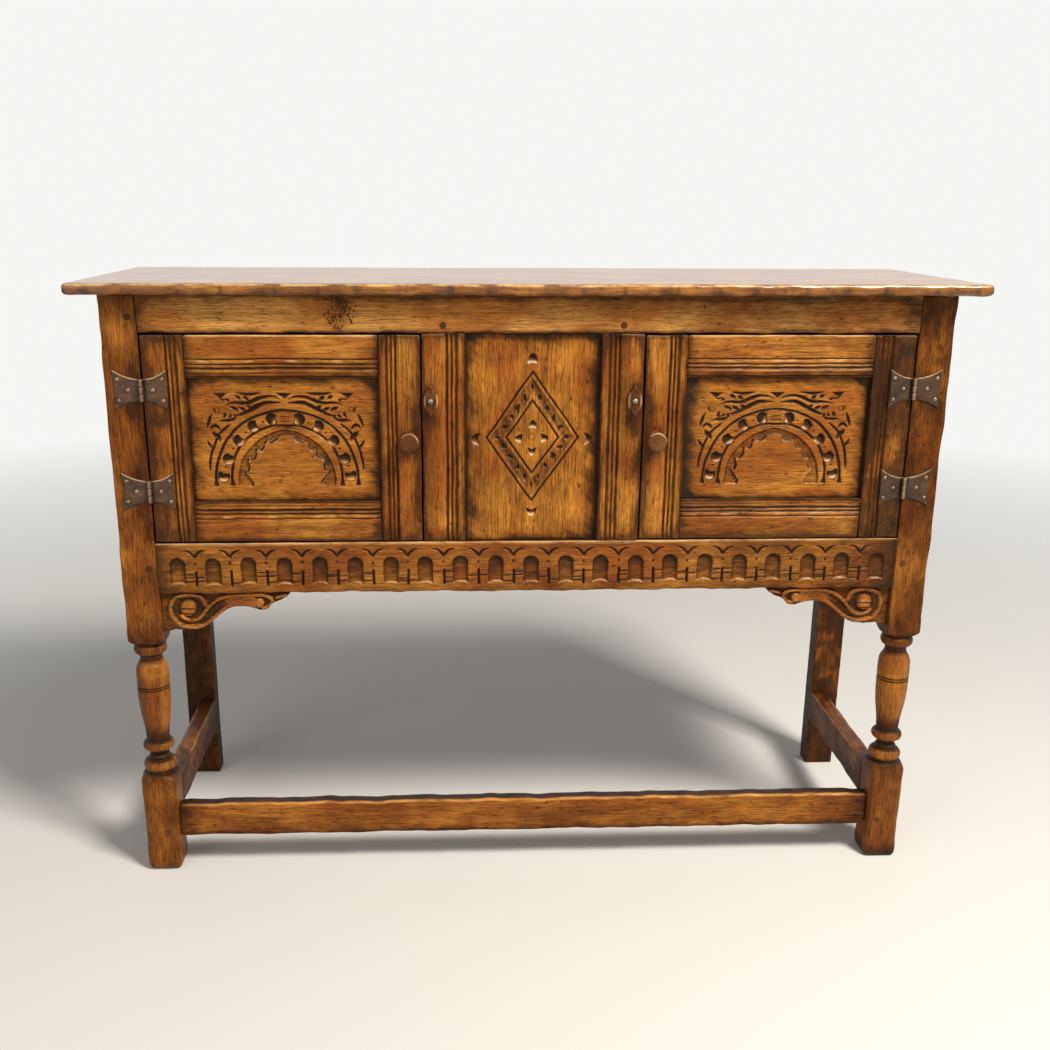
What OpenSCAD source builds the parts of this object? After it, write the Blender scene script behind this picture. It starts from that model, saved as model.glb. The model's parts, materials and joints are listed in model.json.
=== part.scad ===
// Oak side cabinet on turned legs: two carved doors either side of a fixed panel.
// Origin at the centre of the footprint on the floor, front faces -Y, +Z up.

/* [Top board] */
// Length of the top board
top_w = 1220; // [1140:5:1300]
// Depth of the top board
top_d = 380; // [360:5:420]
// Thickness of the top board
top_t = 16; // [13:1:24]
// Radius worked on the edges of the top board
top_edge_r = 5; // [2:0.5:6]
// How far the top oversails the legs at each end
overhang_side = 34; // [20:1:45]
// How far the top oversails the front
overhang_front = 30; // [29:1:36]
// How far the top oversails the back
overhang_back = 2; // [0:1:8]

/* [Frame] */
// Height of the frame, from the floor to the underside of the top
frame_h = 859; // [820:1:900]
// Thickness of the front rails and muntins
rail_t = 24; // [20:1:28]
// Depth of the rail under the top
top_rail_h = 51; // [44:1:60]
// Height of the door openings
opening_h = 290; // [270:1:320]
// Depth of the carved rail under the doors
carved_rail_h = 75; // [68:1:84]
// Width of each muntin beside the centre panel
muntin_w = 59; // [52:1:64]
// Clear width of the centre panel between the muntins
centre_w = 184; // [160:1:200]
// Thickness of the side rails
side_rail_t = 24; // [20:1:28]
// Setback of the side rails from the outer face of the legs
side_setback = 2; // [0:0.5:4]
// Thickness of the back rails
back_rail_t = 20; // [16:1:24]

/* [Legs] */
// Side of the square front legs
leg_w = 50; // [46:1:56]
// Height of the square foot block
block_h = 159; // [152:1:166]
// Height at which the turning meets the square post
post_z = 366; // [360:1:378]
// Width of the plain back legs
back_leg_w = 48; // [44:1:56]
// Front to back depth of the back legs
back_leg_d = 33; // [30:1:40]

/* [Stretchers] */
// Depth of the front and side stretchers
stretcher_h = 54; // [46:1:60]
// Height of the front stretcher above the floor
front_stretcher_z = 52; // [44:1:60]
// Setback of the front stretcher from the face of the legs
front_stretcher_setback = 10; // [6:0.5:12]
// Thickness of the front stretcher
front_stretcher_t = 22; // [18:1:24]
// Height of the side stretchers above the floor
side_stretcher_z = 87; // [80:1:94]
// Thickness of the side stretchers
side_stretcher_t = 26; // [20:1:28]

/* [Joints and pegs] */
// Thickness of the tenons
tenon_t = 8; // [6:0.5:9]
// Length of the tenons on the front rails
tenon_l = 26; // [22:1:29]
// Length of the tenons on the side rails
side_tenon_l = 22; // [16:1:23]
// Shoulder above and below each tenon
shoulder = 10; // [9:0.5:12]
// Clearance round tenons and panels
fit = 0.15; // [0.1:0.05:0.2]
// Radius of the oak pegs
peg_r = 4.4; // [3.5:0.1:5]
// Length of the oak pegs in the wood
peg_l = 22; // [18:1:24]
// How far the pegs stand proud
peg_proud = 0.6; // [0.2:0.1:1]

/* [Doors] */
// Gap round each door
door_gap = 2; // [1:0.5:3]
// Gap between a shut door and its stop
stop_gap = 0.3; // [0.2:0.1:0.5]
// Width of the door stiles
stile_w = 57; // [54:1:62]
// Depth of the top and bottom rails of the doors
door_rail_h = 57; // [50:1:62]
// Width of the run moulding on stiles, rails and muntins
mould_w = 25; // [24:0.5:28]
// Depth of the grooves in the run moulding
mould_d = 1.6; // [1:0.1:2.2]

/* [Panels] */
// Depth of the panel faces behind the frame face
panel_setback = 8; // [6:0.5:9]
// Thickness of the carved panels
panel_t = 9; // [8:0.5:10]
// Thickness of the tongue round each panel
tongue_t = 6; // [4:0.5:7]
// Depth of the panel grooves
groove_d = 8; // [6:0.5:8.5]
// Thickness of the side and back boards
board_t = 8; // [6:0.5:9]
// Thickness of the cupboard floor boards
floor_t = 16; // [12:1:20]
// Drop of the cupboard floor below the door opening
floor_drop = 2; // [0:0.5:4]
// Section of the bearers under the cupboard floor
bearer = 18; // [14:1:22]

/* [Hinges] */
// Height of each hinge leaf at its outer edge
leaf_h = 54; // [50:1:58]
// Height of the knuckle, where the leaf is narrowest
knuckle_h = 30; // [26:1:36]
// Width of the leaf on the leg, from the hinge axis
post_leaf_w = 38; // [34:1:42]
// Width of the leaf on the door, from the hinge axis
door_leaf_w = 33; // [30:1:38]
// Thickness of the leaves
leaf_t = 1.6; // [1.2:0.1:2]
// Outer radius of the knuckles
knuckle_r = 4; // [3.5:0.1:4.2]
// Radius of the hinge pins
pin_r = 2; // [1.6:0.1:2.2]
// Running clearance between a pin or screw and its hole
running = 0.05; // [0.03:0.01:0.08]
// Height of the upper hinges above the door opening's sill
upper_hinge = 215; // [200:1:225]
// Height of the lower hinges above the door opening's sill
lower_hinge = 75; // [70:1:90]
// Radius of the domed nail heads
nail_head_r = 3; // [2.4:0.1:3.2]

/* [Knobs and turn buttons] */
// Distance of the knobs from the meeting edge of the door
knob_inset = 16; // [15:0.5:22]
// Height of the knobs above the door opening's sill
knob_z = 146; // [130:1:156]
// Radius of the knobs
knob_r = 13.8; // [12:0.2:15]
// Length of the knobs in front of the door
knob_l = 28; // [22:0.5:28.5]
// Length of the turn buttons
button_l = 45; // [42:1:48]
// Width of the turn buttons
button_w = 19; // [16:0.5:22]
// Thickness of the turn buttons
button_t = 9; // [7:0.5:10]
// Distance of the turn buttons' screws from the edge of the door opening
button_inset = 12; // [11.5:0.5:13]
// Height of the turn buttons above the door opening's sill
button_z = 200; // [190:1:208]
// Radius of the screws' shanks
screw_r = 2; // [1.5:0.1:2.5]

/* [Carving] */
// Number of niches in the carved rail
niches = 21; // [15:1:21]
// Width of a niche
niche_w = 22; // [18:0.5:24]
// Height of a niche
niche_h = 42; // [36:1:44]
// Depth of a niche
niche_d = 5; // [3:0.5:7]
// Distance of the end niches from the legs
niche_end = 28; // [24:0.5:32]
// Half width of the lunette on a door panel
lunette_r = 97; // [90:1:99]
// Height of the larger lozenge on the centre panel
lozenge_h = 176; // [150:2:180]
// Width of the larger lozenge on the centre panel
lozenge_w = 124; // [110:2:130]
// Depth of the channels cut in the panels
channel_d = 2.5; // [1.5:0.1:3]

/* [Brackets] */
// Length of each scroll bracket along the rail
bracket_l = 184; // [175:1:195]
// Depth of each scroll bracket below the rail
bracket_h = 56; // [54:1:60]
// Thickness of the brackets
bracket_t = 19; // [16:1:20]
// Setback of the brackets from the face of the rail
bracket_setback = 2; // [1:0.5:4]

/* [Hidden] */
$fn = 48;
over = 1;                                        // how far a cutter passes a face
end_gap = 0.5;                                   // room past the end of a tenon or tongue

half_w = top_w/2 - overhang_side;                // outer face of the legs
front_y = -top_d/2 + overhang_front;             // face of the front frame
back_y = top_d/2 - overhang_back;                // back face of the back legs
post_in = half_w - leg_w;                        // inner face of the front legs
back_in = half_w - back_leg_w;                   // inner face of the back legs
leg_back = front_y + leg_w;                      // back face of the front legs
back_leg_y = back_y - back_leg_d;                // front face of the back legs
rail_back = front_y + rail_t;                    // back face of the front rails
rail_mid = front_y + rail_t/2;
open_top = frame_h - top_rail_h;                 // underside of the top rail
sill = open_top - opening_h;                     // foot of the door openings
carved_z = sill - carved_rail_h;                 // underside of the carved rail
muntin_in = centre_w/2;
muntin_out = muntin_in + muntin_w;               // edge of the door openings
side_out = half_w - side_setback;                // outer face of the side rails
side_in = side_out - side_rail_t;
side_mid = (side_out + side_in)/2;
back_mid = back_y - back_leg_d/2;                // middle of the back rails
floor_z = sill - floor_drop;                     // top of the cupboard floor

door_t = rail_t - stop_gap;
door_hinge_x = post_in - door_gap;               // hinge edge of a door
door_latch_x = muntin_out + door_gap;            // meeting edge of a door
door_z0 = sill + door_gap;
door_z1 = open_top - door_gap;
door_mid = front_y + door_t/2;
panel_x0 = door_latch_x + stile_w;               // opening of a door's panel
panel_x1 = door_hinge_x - stile_w;
panel_z0 = door_z0 + door_rail_h;
panel_z1 = door_z1 - door_rail_h;
panel_y = front_y + panel_setback;               // face of the carved panels
tongue_y = panel_y + panel_t - tongue_t;

axis_x = post_in - door_gap/2;                   // hinge axis, in the gap at the leg
axis_y = front_y - knuckle_r - stop_gap;
hinge_zs = [sill + upper_hinge, sill + lower_hinge];
button_x = muntin_out - button_inset;
knob_x = door_latch_x + knob_inset;
stretcher_mid = front_y + front_stretcher_setback + front_stretcher_t/2;
side_stretcher_mid = post_in + over + side_stretcher_t/2;
peg_in = 11;                                     // distance of the pegs from a joint
foot_peg_in = 15;                                // and of the pegs in the feet
peg_gap = 0.1;                                   // clearance round the pegs and spigots
top_peg_drop = 4;                                // the top pegs sit below the middle of the rail

module block(a, b) { translate(a) cube(b - a); }
// Plain outline in X and Z, made t thick from y back
module plate(y, t) { translate([0, y + t, 0]) rotate([90, 0, 0]) linear_extrude(t) children(); }
module rod_y(r, x, z, y0, y1) { translate([x, y1, z]) rotate([90, 0, 0]) cylinder(r = r, h = y1 - y0); }
module rod_x(r, y, z, x0, x1) { translate([x0, y, z]) rotate([0, 90, 0]) cylinder(r = r, h = x1 - x0); }
module right_hand() { mirror([1, 0, 0]) children(); }

// Tenons of the left side, g is the extra room when one is cut as a mortise
module tenon_to_left(x, l, y, z0, z1, g = 0) {
  block([x - l - (g > 0 ? end_gap : 0), y - tenon_t/2 - g, z0 + shoulder - g],
        [x + (g > 0 ? over : 0), y + tenon_t/2 + g, z1 - shoulder + g]);
}
module tenon_to_front(x, y, l, z0, z1, g = 0) {
  block([x - tenon_t/2 - g, y - l - (g > 0 ? end_gap : 0), z0 + shoulder - g],
        [x + tenon_t/2 + g, y + (g > 0 ? over : 0), z1 - shoulder + g]);
}
module tenon_to_back(x, y, l, z0, z1, g = 0) {
  block([x - tenon_t/2 - g, y - (g > 0 ? over : 0), z0 + shoulder - g],
        [x + tenon_t/2 + g, y + l + (g > 0 ? end_gap : 0), z1 - shoulder + g]);
}

// Places of the pegs: front pegs as x, z and side pegs as y, z, on the left side
front_pegs = [[-post_in - peg_in, frame_h - top_rail_h/2 - top_peg_drop],
              [-post_in - peg_in, carved_z + carved_rail_h/2],
              [-post_in - foot_peg_in, front_stretcher_z + stretcher_h/4]];
side_pegs = [for (y = [leg_back - peg_in, back_leg_y + peg_in])
             for (z = [open_top + top_rail_h/2, carved_z + carved_rail_h/2,
                       side_stretcher_z + stretcher_h/2]) [y, z]];
muntin_peg = [-(muntin_out + muntin_in)/2, open_top + peg_in];
module front_peg(p, g = 0) {
  rod_y(peg_r + g, p[0], p[1], front_y - (g > 0 ? over : peg_proud), front_y + peg_l + g);
}
module side_peg(p, g = 0) {
  rod_x(peg_r + g, p[0], p[1], -half_w - (g > 0 ? over : peg_proud), -half_w + peg_l + g);
}

// Turned profile of a front leg, as radius and height
function bead(z, h, r0, r1) = [for (a = [-90:15:90]) [r0 + (r1 - r0)*cos(a), z + h/2*sin(a)]];
function swell(z0, z1, r0, r1) = [for (i = [0:8]) [r0 + (r1 - r0)*sin(90*i/8), z0 + (z1 - z0)*i/8]];
function shoulder_in(z, h, r0, r1) = [for (a = [0:15:90]) [r1 + (r0 - r1)*cos(a), z + h*sin(a)]];
body_r = leg_w/2;                                // fullest radius of the turning
square_r = leg_w*0.72;                           // just clear of the square's corners
turn_h = post_z - block_h;
function at(k) = block_h + turn_h*k;             // height on the turning, 0 at the block
leg_profile = concat(
  [[0, 0], [square_r - 8, 0], [square_r - 3, 3], [square_r, 11]],
  shoulder_in(block_h - 12, 12, square_r, body_r - 3),
  bead(at(0.050), 18, body_r - 7, body_r - 0.4),
  bead(at(0.112), 6, body_r - 9, body_r - 5.5),
  [[body_r - 12.5, at(0.140)], [body_r - 12.5, at(0.160)]],
  bead(at(0.205), 15, body_r - 10, body_r - 1),
  swell(at(0.250), at(0.595), body_r - 8.4, body_r),
  [[body_r - 1.2, at(0.604)], [body_r, at(0.613)], [body_r, at(0.640)],
   [body_r - 1.2, at(0.650)], [body_r, at(0.660)]],
  shoulder_in(at(0.735), 15, body_r, body_r - 6),
  bead(at(0.826), 5, body_r - 8, body_r - 5),
  [[body_r - 10, at(0.860)], [body_r - 10, at(0.885)]],
  bead(at(0.943), 17, body_r - 9, body_r - 0.1),
  [for (a = [0:15:90]) [square_r - (square_r - body_r + 2)*cos(a), post_z + 14*sin(a)]],
  [[square_r, frame_h], [0, frame_h]]);

// Three nails hold each leaf: distance from the hinge axis and height about its middle
nail_edge = 6;                                   // outer nails to the leaf's outer edge
nail_rise = 14.5;                                // outer nails to the leaf's middle
nail_inset = 19;                                 // middle nail to the leaf's outer edge
nail_r = 0.95;
nail_l = 12;
function nails(w) = [[w - nail_edge, nail_rise], [w - nail_inset, 0], [w - nail_edge, -nail_rise]];
module hinge_nail_holes(w, dir) {
  for (z = hinge_zs, p = nails(w))
    rod_y(nail_r + running, -axis_x + dir*p[0], z + p[1], front_y - leaf_t - over, front_y + nail_l + over);
}

module front_leg_shape() {
  difference() {
    intersection() {
      translate([-half_w + leg_w/2, front_y + leg_w/2, 0]) rotate_extrude($fn = 64) polygon(leg_profile);
      block([-half_w, front_y, 0], [-post_in, leg_back, frame_h]);
    }
    tenon_to_left(-post_in, tenon_l, rail_mid, open_top, frame_h, fit);
    tenon_to_left(-post_in, tenon_l, rail_mid, carved_z, sill, fit);
    tenon_to_left(-post_in, tenon_l, stretcher_mid, front_stretcher_z, front_stretcher_z + stretcher_h, fit);
    tenon_to_front(-side_mid, leg_back, side_tenon_l, open_top, frame_h, fit);
    tenon_to_front(-side_mid, leg_back, side_tenon_l, carved_z, sill, fit);
    tenon_to_front(-side_stretcher_mid, leg_back, side_tenon_l, side_stretcher_z,
                   side_stretcher_z + stretcher_h, fit);
    block([-side_mid - board_t/2 - fit, leg_back - groove_d, sill - groove_d],
          [-side_mid + board_t/2 + fit, leg_back + over, open_top + groove_d]);
    for (p = front_pegs) front_peg(p, peg_gap);
    for (p = side_pegs) if (p[0] < 0) side_peg(p, peg_gap);
    hinge_nail_holes(post_leaf_w, -1);
  }
}
module back_leg_shape() {
  difference() {
    block([-half_w, back_leg_y, 0], [-back_in, back_y, frame_h]);
    tenon_to_left(-back_in, tenon_l, back_mid, open_top, frame_h, fit);
    tenon_to_left(-back_in, tenon_l, back_mid, carved_z, sill, fit);
    tenon_to_back(-side_mid, back_leg_y, side_tenon_l, open_top, frame_h, fit);
    tenon_to_back(-side_mid, back_leg_y, side_tenon_l, carved_z, sill, fit);
    tenon_to_back(-side_stretcher_mid, back_leg_y, side_tenon_l, side_stretcher_z,
                  side_stretcher_z + stretcher_h, fit);
    block([-side_mid - board_t/2 - fit, back_leg_y - over, sill - groove_d],
          [-side_mid + board_t/2 + fit, back_leg_y + groove_d, open_top + groove_d]);
    block([-back_in - groove_d, back_mid - board_t/2 - fit, sill - groove_d],
          [-back_in + over, back_mid + board_t/2 + fit, open_top + groove_d]);
    for (p = side_pegs) if (p[0] > 0) side_peg(p, peg_gap);
  }
}

// Top board with rounded edges, the end profile crossed with the front profile
module edge_profile(w) {
  translate([-w/2 + top_edge_r, 0]) square([w - 2*top_edge_r, top_t]);
  translate([-w/2, top_edge_r]) square([w, top_t - 2*top_edge_r]);
  for (x = [-1, 1], z = [top_edge_r, top_t - top_edge_r])
    translate([x*(w/2 - top_edge_r), z]) circle(r = top_edge_r);
}
module top_board() {
  color("saddlebrown") translate([0, 0, frame_h]) intersection() {
    translate([0, top_d/2, 0]) rotate([90, 0, 0]) linear_extrude(top_d) edge_profile(top_w);
    translate([-top_w/2, 0, 0]) rotate([90, 0, 90]) linear_extrude(top_w) edge_profile(top_d);
  }
}
module front_leg_left() { color("sienna") front_leg_shape(); }
module front_leg_right() { color("sienna") right_hand() front_leg_shape(); }
module back_leg_left() { color("sienna") back_leg_shape(); }
module back_leg_right() { color("sienna") right_hand() back_leg_shape(); }

// A rail along X with a tenon at each end, about x = 0
module rail_across(x, y0, y1, z0, z1, l) {
  block([-x, y0, z0], [x, y1, z1]);
  for (m = [0, 1]) mirror([m, 0, 0]) tenon_to_left(-x, l, (y0 + y1)/2, z0, z1);
}
// Groove in a rail for the centre panel, as wide as the panel's tongue
module centre_groove(z0, z1) {
  block([-muntin_in - groove_d, tongue_y - fit, z0],
        [muntin_in + groove_d, tongue_y + tongue_t + fit, z1]);
}
module front_top_rail() {
  color("peru") difference() {
    rail_across(post_in, front_y, rail_back, open_top, frame_h, tenon_l);
    for (m = [0, 1]) mirror([m, 0, 0]) {
      muntin_tenon(open_top, 1, fit);
      front_peg(muntin_peg, peg_gap);
      front_peg(front_pegs[0], peg_gap);
    }
    centre_groove(open_top - over, open_top + groove_d);
  }
}
niche_foot = 11;                                 // foot of the niches above the rail's foot
notch_top = 10;                                  // top of the notches below the rail's top
// Arched niche, a box with a round head
module niche(x) {
  head = niche_w/2;
  plate(front_y - over, niche_d + over) translate([x, carved_z + niche_foot]) {
    translate([-head, 0]) square([niche_w, niche_h - head]);
    translate([0, niche_h - head]) circle(r = head);
  }
}
module front_carved_rail() {
  pitch = 2*(post_in - niche_end)/(niches - 1);
  notch_d = niche_d*0.6;
  slot_w = niche_w*0.18;
  color("peru") difference() {
    rail_across(post_in, front_y, rail_back, carved_z, sill, tenon_l);
    for (i = [0:niches - 1]) niche((i - (niches - 1)/2)*pitch);
    // A notch and a slot between each two niches
    for (i = [0:niches - 2]) translate([(i - niches/2 + 1)*pitch, 0, 0]) {
      plate(front_y - over, notch_d + over)
        polygon([[-niche_w/2, sill - notch_top], [niche_w/2, sill - notch_top],
                 [0, sill - notch_top - niche_w/2]]);
      block([-slot_w/2, front_y - over, carved_z + niche_foot],
            [slot_w/2, front_y + notch_d, carved_z + niche_foot + niche_h*0.55]);
    }
    for (m = [0, 1]) mirror([m, 0, 0]) {
      muntin_tenon(sill, -1, fit);
      front_peg(front_pegs[1], peg_gap);
    }
    centre_groove(sill - groove_d, sill + over);
  }
}
// Tenon at one end of the left muntin, dir 1 at its head and -1 at its foot
module muntin_tenon(z, dir, g = 0) {
  l = tenon_l*dir + (g > 0 ? end_gap*dir : 0);
  back = g > 0 ? over*dir : 0;
  block([-muntin_out + shoulder - g, rail_mid - tenon_t/2 - g, min(z - back, z + l)],
        [-muntin_in - shoulder + g, rail_mid + tenon_t/2 + g, max(z - back, z + l)]);
}
// Grooves of the run moulding along Z, from the inner edge x towards dir
mould_lines = [0.4, 0.72, 1];
mould_lip = 4;                                   // sunk strip beside the panel
module mould_z(x, dir, z0, z1) {
  for (k = mould_lines) block([x + dir*mould_w*k - mould_d/2, front_y - over, z0 - over],
                                 [x + dir*mould_w*k + mould_d/2, front_y + mould_d, z1 + over]);
  block([min(x - dir*over, x + dir*mould_lip), front_y - over, z0 - over],
        [max(x - dir*over, x + dir*mould_lip), front_y + mould_d, z1 + over]);
}
module mould_x(z, dir, x0, x1) {
  for (k = mould_lines) block([x0 - over, front_y - over, z + dir*mould_w*k - mould_d/2],
                                 [x1 + over, front_y + mould_d, z + dir*mould_w*k + mould_d/2]);
  block([x0 - over, front_y - over, min(z - dir*over, z + dir*mould_lip)],
        [x1 + over, front_y + mould_d, max(z - dir*over, z + dir*mould_lip)]);
}
module muntin_shape() {
  difference() {
    union() {
      block([-muntin_out, front_y, sill], [-muntin_in, rail_back, open_top]);
      muntin_tenon(open_top, 1);
      muntin_tenon(sill, -1);
    }
    mould_z(-muntin_in, -1, sill, open_top);
    block([-muntin_in - groove_d, tongue_y - fit, sill - over],
          [-muntin_in + over, tongue_y + tongue_t + fit, open_top + over]);
    front_peg(muntin_peg, peg_gap);
    rod_y(screw_r + running, -button_x, sill + button_z, front_y - over, front_y + screw_l + over);
  }
}
module muntin_left() { color("peru") muntin_shape(); }
module muntin_right() { color("peru") right_hand() muntin_shape(); }

// Carved board: a face that fills its opening and a thinner tongue in the grooves
module tongued_board(x0, x1, z0, z1) {
  block([x0 + fit, panel_y, z0 + fit], [x1 - fit, tongue_y, z1 - fit]);
  block([x0 - groove_d + end_gap, tongue_y, z0 - groove_d + end_gap],
        [x1 + groove_d - end_gap, tongue_y + tongue_t, z1 + groove_d - end_gap]);
}
// Lozenge k times the full size, and the band between two of them
module lozenge(k) {
  scale(k) polygon([[-lozenge_w/2, 0], [0, -lozenge_h/2], [lozenge_w/2, 0], [0, lozenge_h/2]]);
}
module lozenge_band(k0, k1) { difference() { lozenge(k1); lozenge(k0); } }
module centre_panel() {
  color("chocolate") difference() {
    tongued_board(-muntin_in, muntin_in, sill, open_top);
    plate(panel_y - over, channel_d + over) translate([0, (sill + open_top)/2]) {
      lozenge_band(0.96, 1);
      lozenge_band(0.71, 0.87);
      lozenge_band(0.54, 0.6);
      for (a = [0:90:270]) rotate(a) translate([lozenge_w*0.14, 0]) circle(r = lozenge_w*0.055);
    }
  }
}

module side_rail_shape(z0, z1) {
  block([-side_out, leg_back, z0], [-side_in, back_leg_y, z1]);
  tenon_to_front(-side_mid, leg_back, side_tenon_l, z0, z1);
  tenon_to_back(-side_mid, back_leg_y, side_tenon_l, z0, z1);
}
module side_groove(z0, z1) {
  block([-side_mid - board_t/2 - fit, leg_back - over - side_tenon_l, z0],
        [-side_mid + board_t/2 + fit, back_leg_y + over + side_tenon_l, z1]);
}
module side_top_rail_shape() {
  difference() {
    side_rail_shape(open_top, frame_h);
    side_groove(open_top - over, open_top + groove_d);
    for (p = side_pegs) side_peg(p, peg_gap);
  }
}
module side_bottom_rail_shape() {
  difference() {
    side_rail_shape(carved_z, sill);
    side_groove(sill - groove_d, sill + over);
    for (p = side_pegs) side_peg(p, peg_gap);
  }
}
module side_panel_shape() {
  block([-side_mid - board_t/2, leg_back - groove_d + end_gap, sill - groove_d + end_gap],
        [-side_mid + board_t/2, back_leg_y + groove_d - end_gap, open_top + groove_d - end_gap]);
}
module side_top_rail_left() { color("peru") side_top_rail_shape(); }
module side_top_rail_right() { color("peru") right_hand() side_top_rail_shape(); }
module side_bottom_rail_left() { color("peru") side_bottom_rail_shape(); }
module side_bottom_rail_right() { color("peru") right_hand() side_bottom_rail_shape(); }
module side_panel_left() { color("chocolate") side_panel_shape(); }
module side_panel_right() { color("chocolate") right_hand() side_panel_shape(); }

module back_rail_shape(z0, z1, g0, g1) {
  difference() {
    rail_across(back_in, back_mid - back_rail_t/2, back_mid + back_rail_t/2, z0, z1, tenon_l);
    block([-back_in - tenon_l - over, back_mid - board_t/2 - fit, g0],
          [back_in + tenon_l + over, back_mid + board_t/2 + fit, g1]);
  }
}
module back_top_rail() {
  color("peru") back_rail_shape(open_top, frame_h, open_top - over, open_top + groove_d);
}
module back_bottom_rail() {
  color("peru") back_rail_shape(carved_z, sill, sill - groove_d, sill + over);
}
// Three boards across the back, edge to edge
module back_boards() {
  z0 = sill - groove_d + end_gap;
  step = (opening_h + 2*groove_d - 2*end_gap)/3;
  x = back_in + groove_d - end_gap;
  color("chocolate") for (i = [0:2])
    block([-x, back_mid - board_t/2, z0 + i*step + (i > 0 ? end_gap/2 : 0)],
          [x, back_mid + board_t/2, z0 + (i + 1)*step - (i < 2 ? end_gap/2 : 0)]);
}
// Three boards along the cupboard floor, notched round the legs
floor_y0 = rail_back + stop_gap;
floor_y1 = back_mid - back_rail_t/2 - stop_gap;
module floor_boards() {
  step = (floor_y1 - floor_y0)/3;
  z0 = floor_z - floor_t;
  color("chocolate") difference() {
    for (i = [0:2]) block([-side_in + end_gap, floor_y0 + i*step + (i > 0 ? end_gap/2 : 0), z0],
                          [side_in - end_gap, floor_y0 + (i + 1)*step - (i < 2 ? end_gap/2 : 0), floor_z]);
    for (m = [0, 1]) mirror([m, 0, 0]) {
      block([-half_w, front_y, z0 - over], [-post_in + end_gap, leg_back + end_gap, floor_z + over]);
      block([-half_w, back_leg_y - end_gap, z0 - over], [-back_in + end_gap, back_y, floor_z + over]);
    }
  }
}
// Strips under the ends and edges of the floor, fixed to the rails
module floor_bearers() {
  z1 = floor_z - floor_t;
  back_face = back_mid - back_rail_t/2;
  color("sienna") {
    block([-post_in + over, rail_back, z1 - bearer], [post_in - over, rail_back + bearer, z1]);
    block([-back_in + over, back_face - bearer, z1 - bearer], [back_in - over, back_face, z1]);
    for (m = [0, 1]) mirror([m, 0, 0])
      block([-side_in, leg_back + over, z1 - bearer], [-side_in + bearer, back_leg_y - bearer, z1]);
  }
}
module front_stretcher() {
  color("sienna") difference() {
    rail_across(post_in, stretcher_mid - front_stretcher_t/2, stretcher_mid + front_stretcher_t/2,
                front_stretcher_z, front_stretcher_z + stretcher_h, tenon_l);
    for (m = [0, 1]) mirror([m, 0, 0]) front_peg(front_pegs[2], peg_gap);
  }
}
module side_stretcher_shape() {
  x = side_stretcher_mid;
  z1 = side_stretcher_z + stretcher_h;
  difference() {
    union() {
      block([-x - side_stretcher_t/2, leg_back, side_stretcher_z], [-x + side_stretcher_t/2, back_leg_y, z1]);
      tenon_to_front(-x, leg_back, side_tenon_l, side_stretcher_z, z1);
      tenon_to_back(-x, back_leg_y, side_tenon_l, side_stretcher_z, z1);
    }
    for (p = side_pegs) side_peg(p, peg_gap);
  }
}
module side_stretcher_left() { color("sienna") side_stretcher_shape(); }
module side_stretcher_right() { color("sienna") right_hand() side_stretcher_shape(); }

// Scroll bracket in the corner of the leg and the carved rail
function curve(a, b, c, d, n) = [for (i = [0:n]) let (t = i/n, s = 1 - t)
  s*s*s*a + 3*s*s*t*b + 3*s*t*t*c + t*t*t*d];
// Point on the bracket, as shares of its length and depth
function on_bracket(u, v) = [u*bracket_l, -v*bracket_h];
volute = on_bracket(0.196, 0.5);
module bracket_outline() {
  translate(volute) circle(r = bracket_h/2);
  translate(on_bracket(0.765, 0.31)) circle(r = bracket_h*0.17);
  polygon(concat([on_bracket(0, 0), on_bracket(0, 1.05), on_bracket(0.163, 0.98)],
    curve(on_bracket(0.217, 1), on_bracket(0.39, 1), on_bracket(0.4, 0.36), on_bracket(0.587, 0.36), 12),
    curve(on_bracket(0.728, 0.39), on_bracket(0.815, 0.53), on_bracket(0.837, 0.21),
          on_bracket(0.913, 0.2), 8),
    [on_bracket(1, 0)]));
}
module bracket_shape() {
  y = front_y + bracket_setback;
  ring_d = bracket_t*0.16;
  translate([-post_in, 0, carved_z]) difference() {
    plate(y, bracket_t) bracket_outline();
    plate(y - over, ring_d + over) translate(volute) difference() {
      circle(r = bracket_h*0.375);
      circle(r = bracket_h*0.23);
    }
  }
}
module scroll_bracket_left() { color("peru") bracket_shape(); }
module scroll_bracket_right() { color("peru") right_hand() bracket_shape(); }

module frame_pegs() {
  color("saddlebrown") for (m = [0, 1]) mirror([m, 0, 0]) {
    for (p = front_pegs) front_peg(p);
    for (p = side_pegs) side_peg(p);
    front_peg(muntin_peg);
  }
}
// Blocks behind the top rail that a shut door meets
stop_l = 40;
stop_t = 12;
stop_drop = 8;                                   // how far a stop hangs below the top rail
module door_stops() {
  color("sienna") for (m = [0, 1]) mirror([m, 0, 0])
    block([-muntin_out - 1.5*stop_l, rail_back, open_top - stop_drop],
          [-muntin_out - stop_l/2, rail_back + stop_t, open_top + top_rail_h/2]);
}

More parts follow.
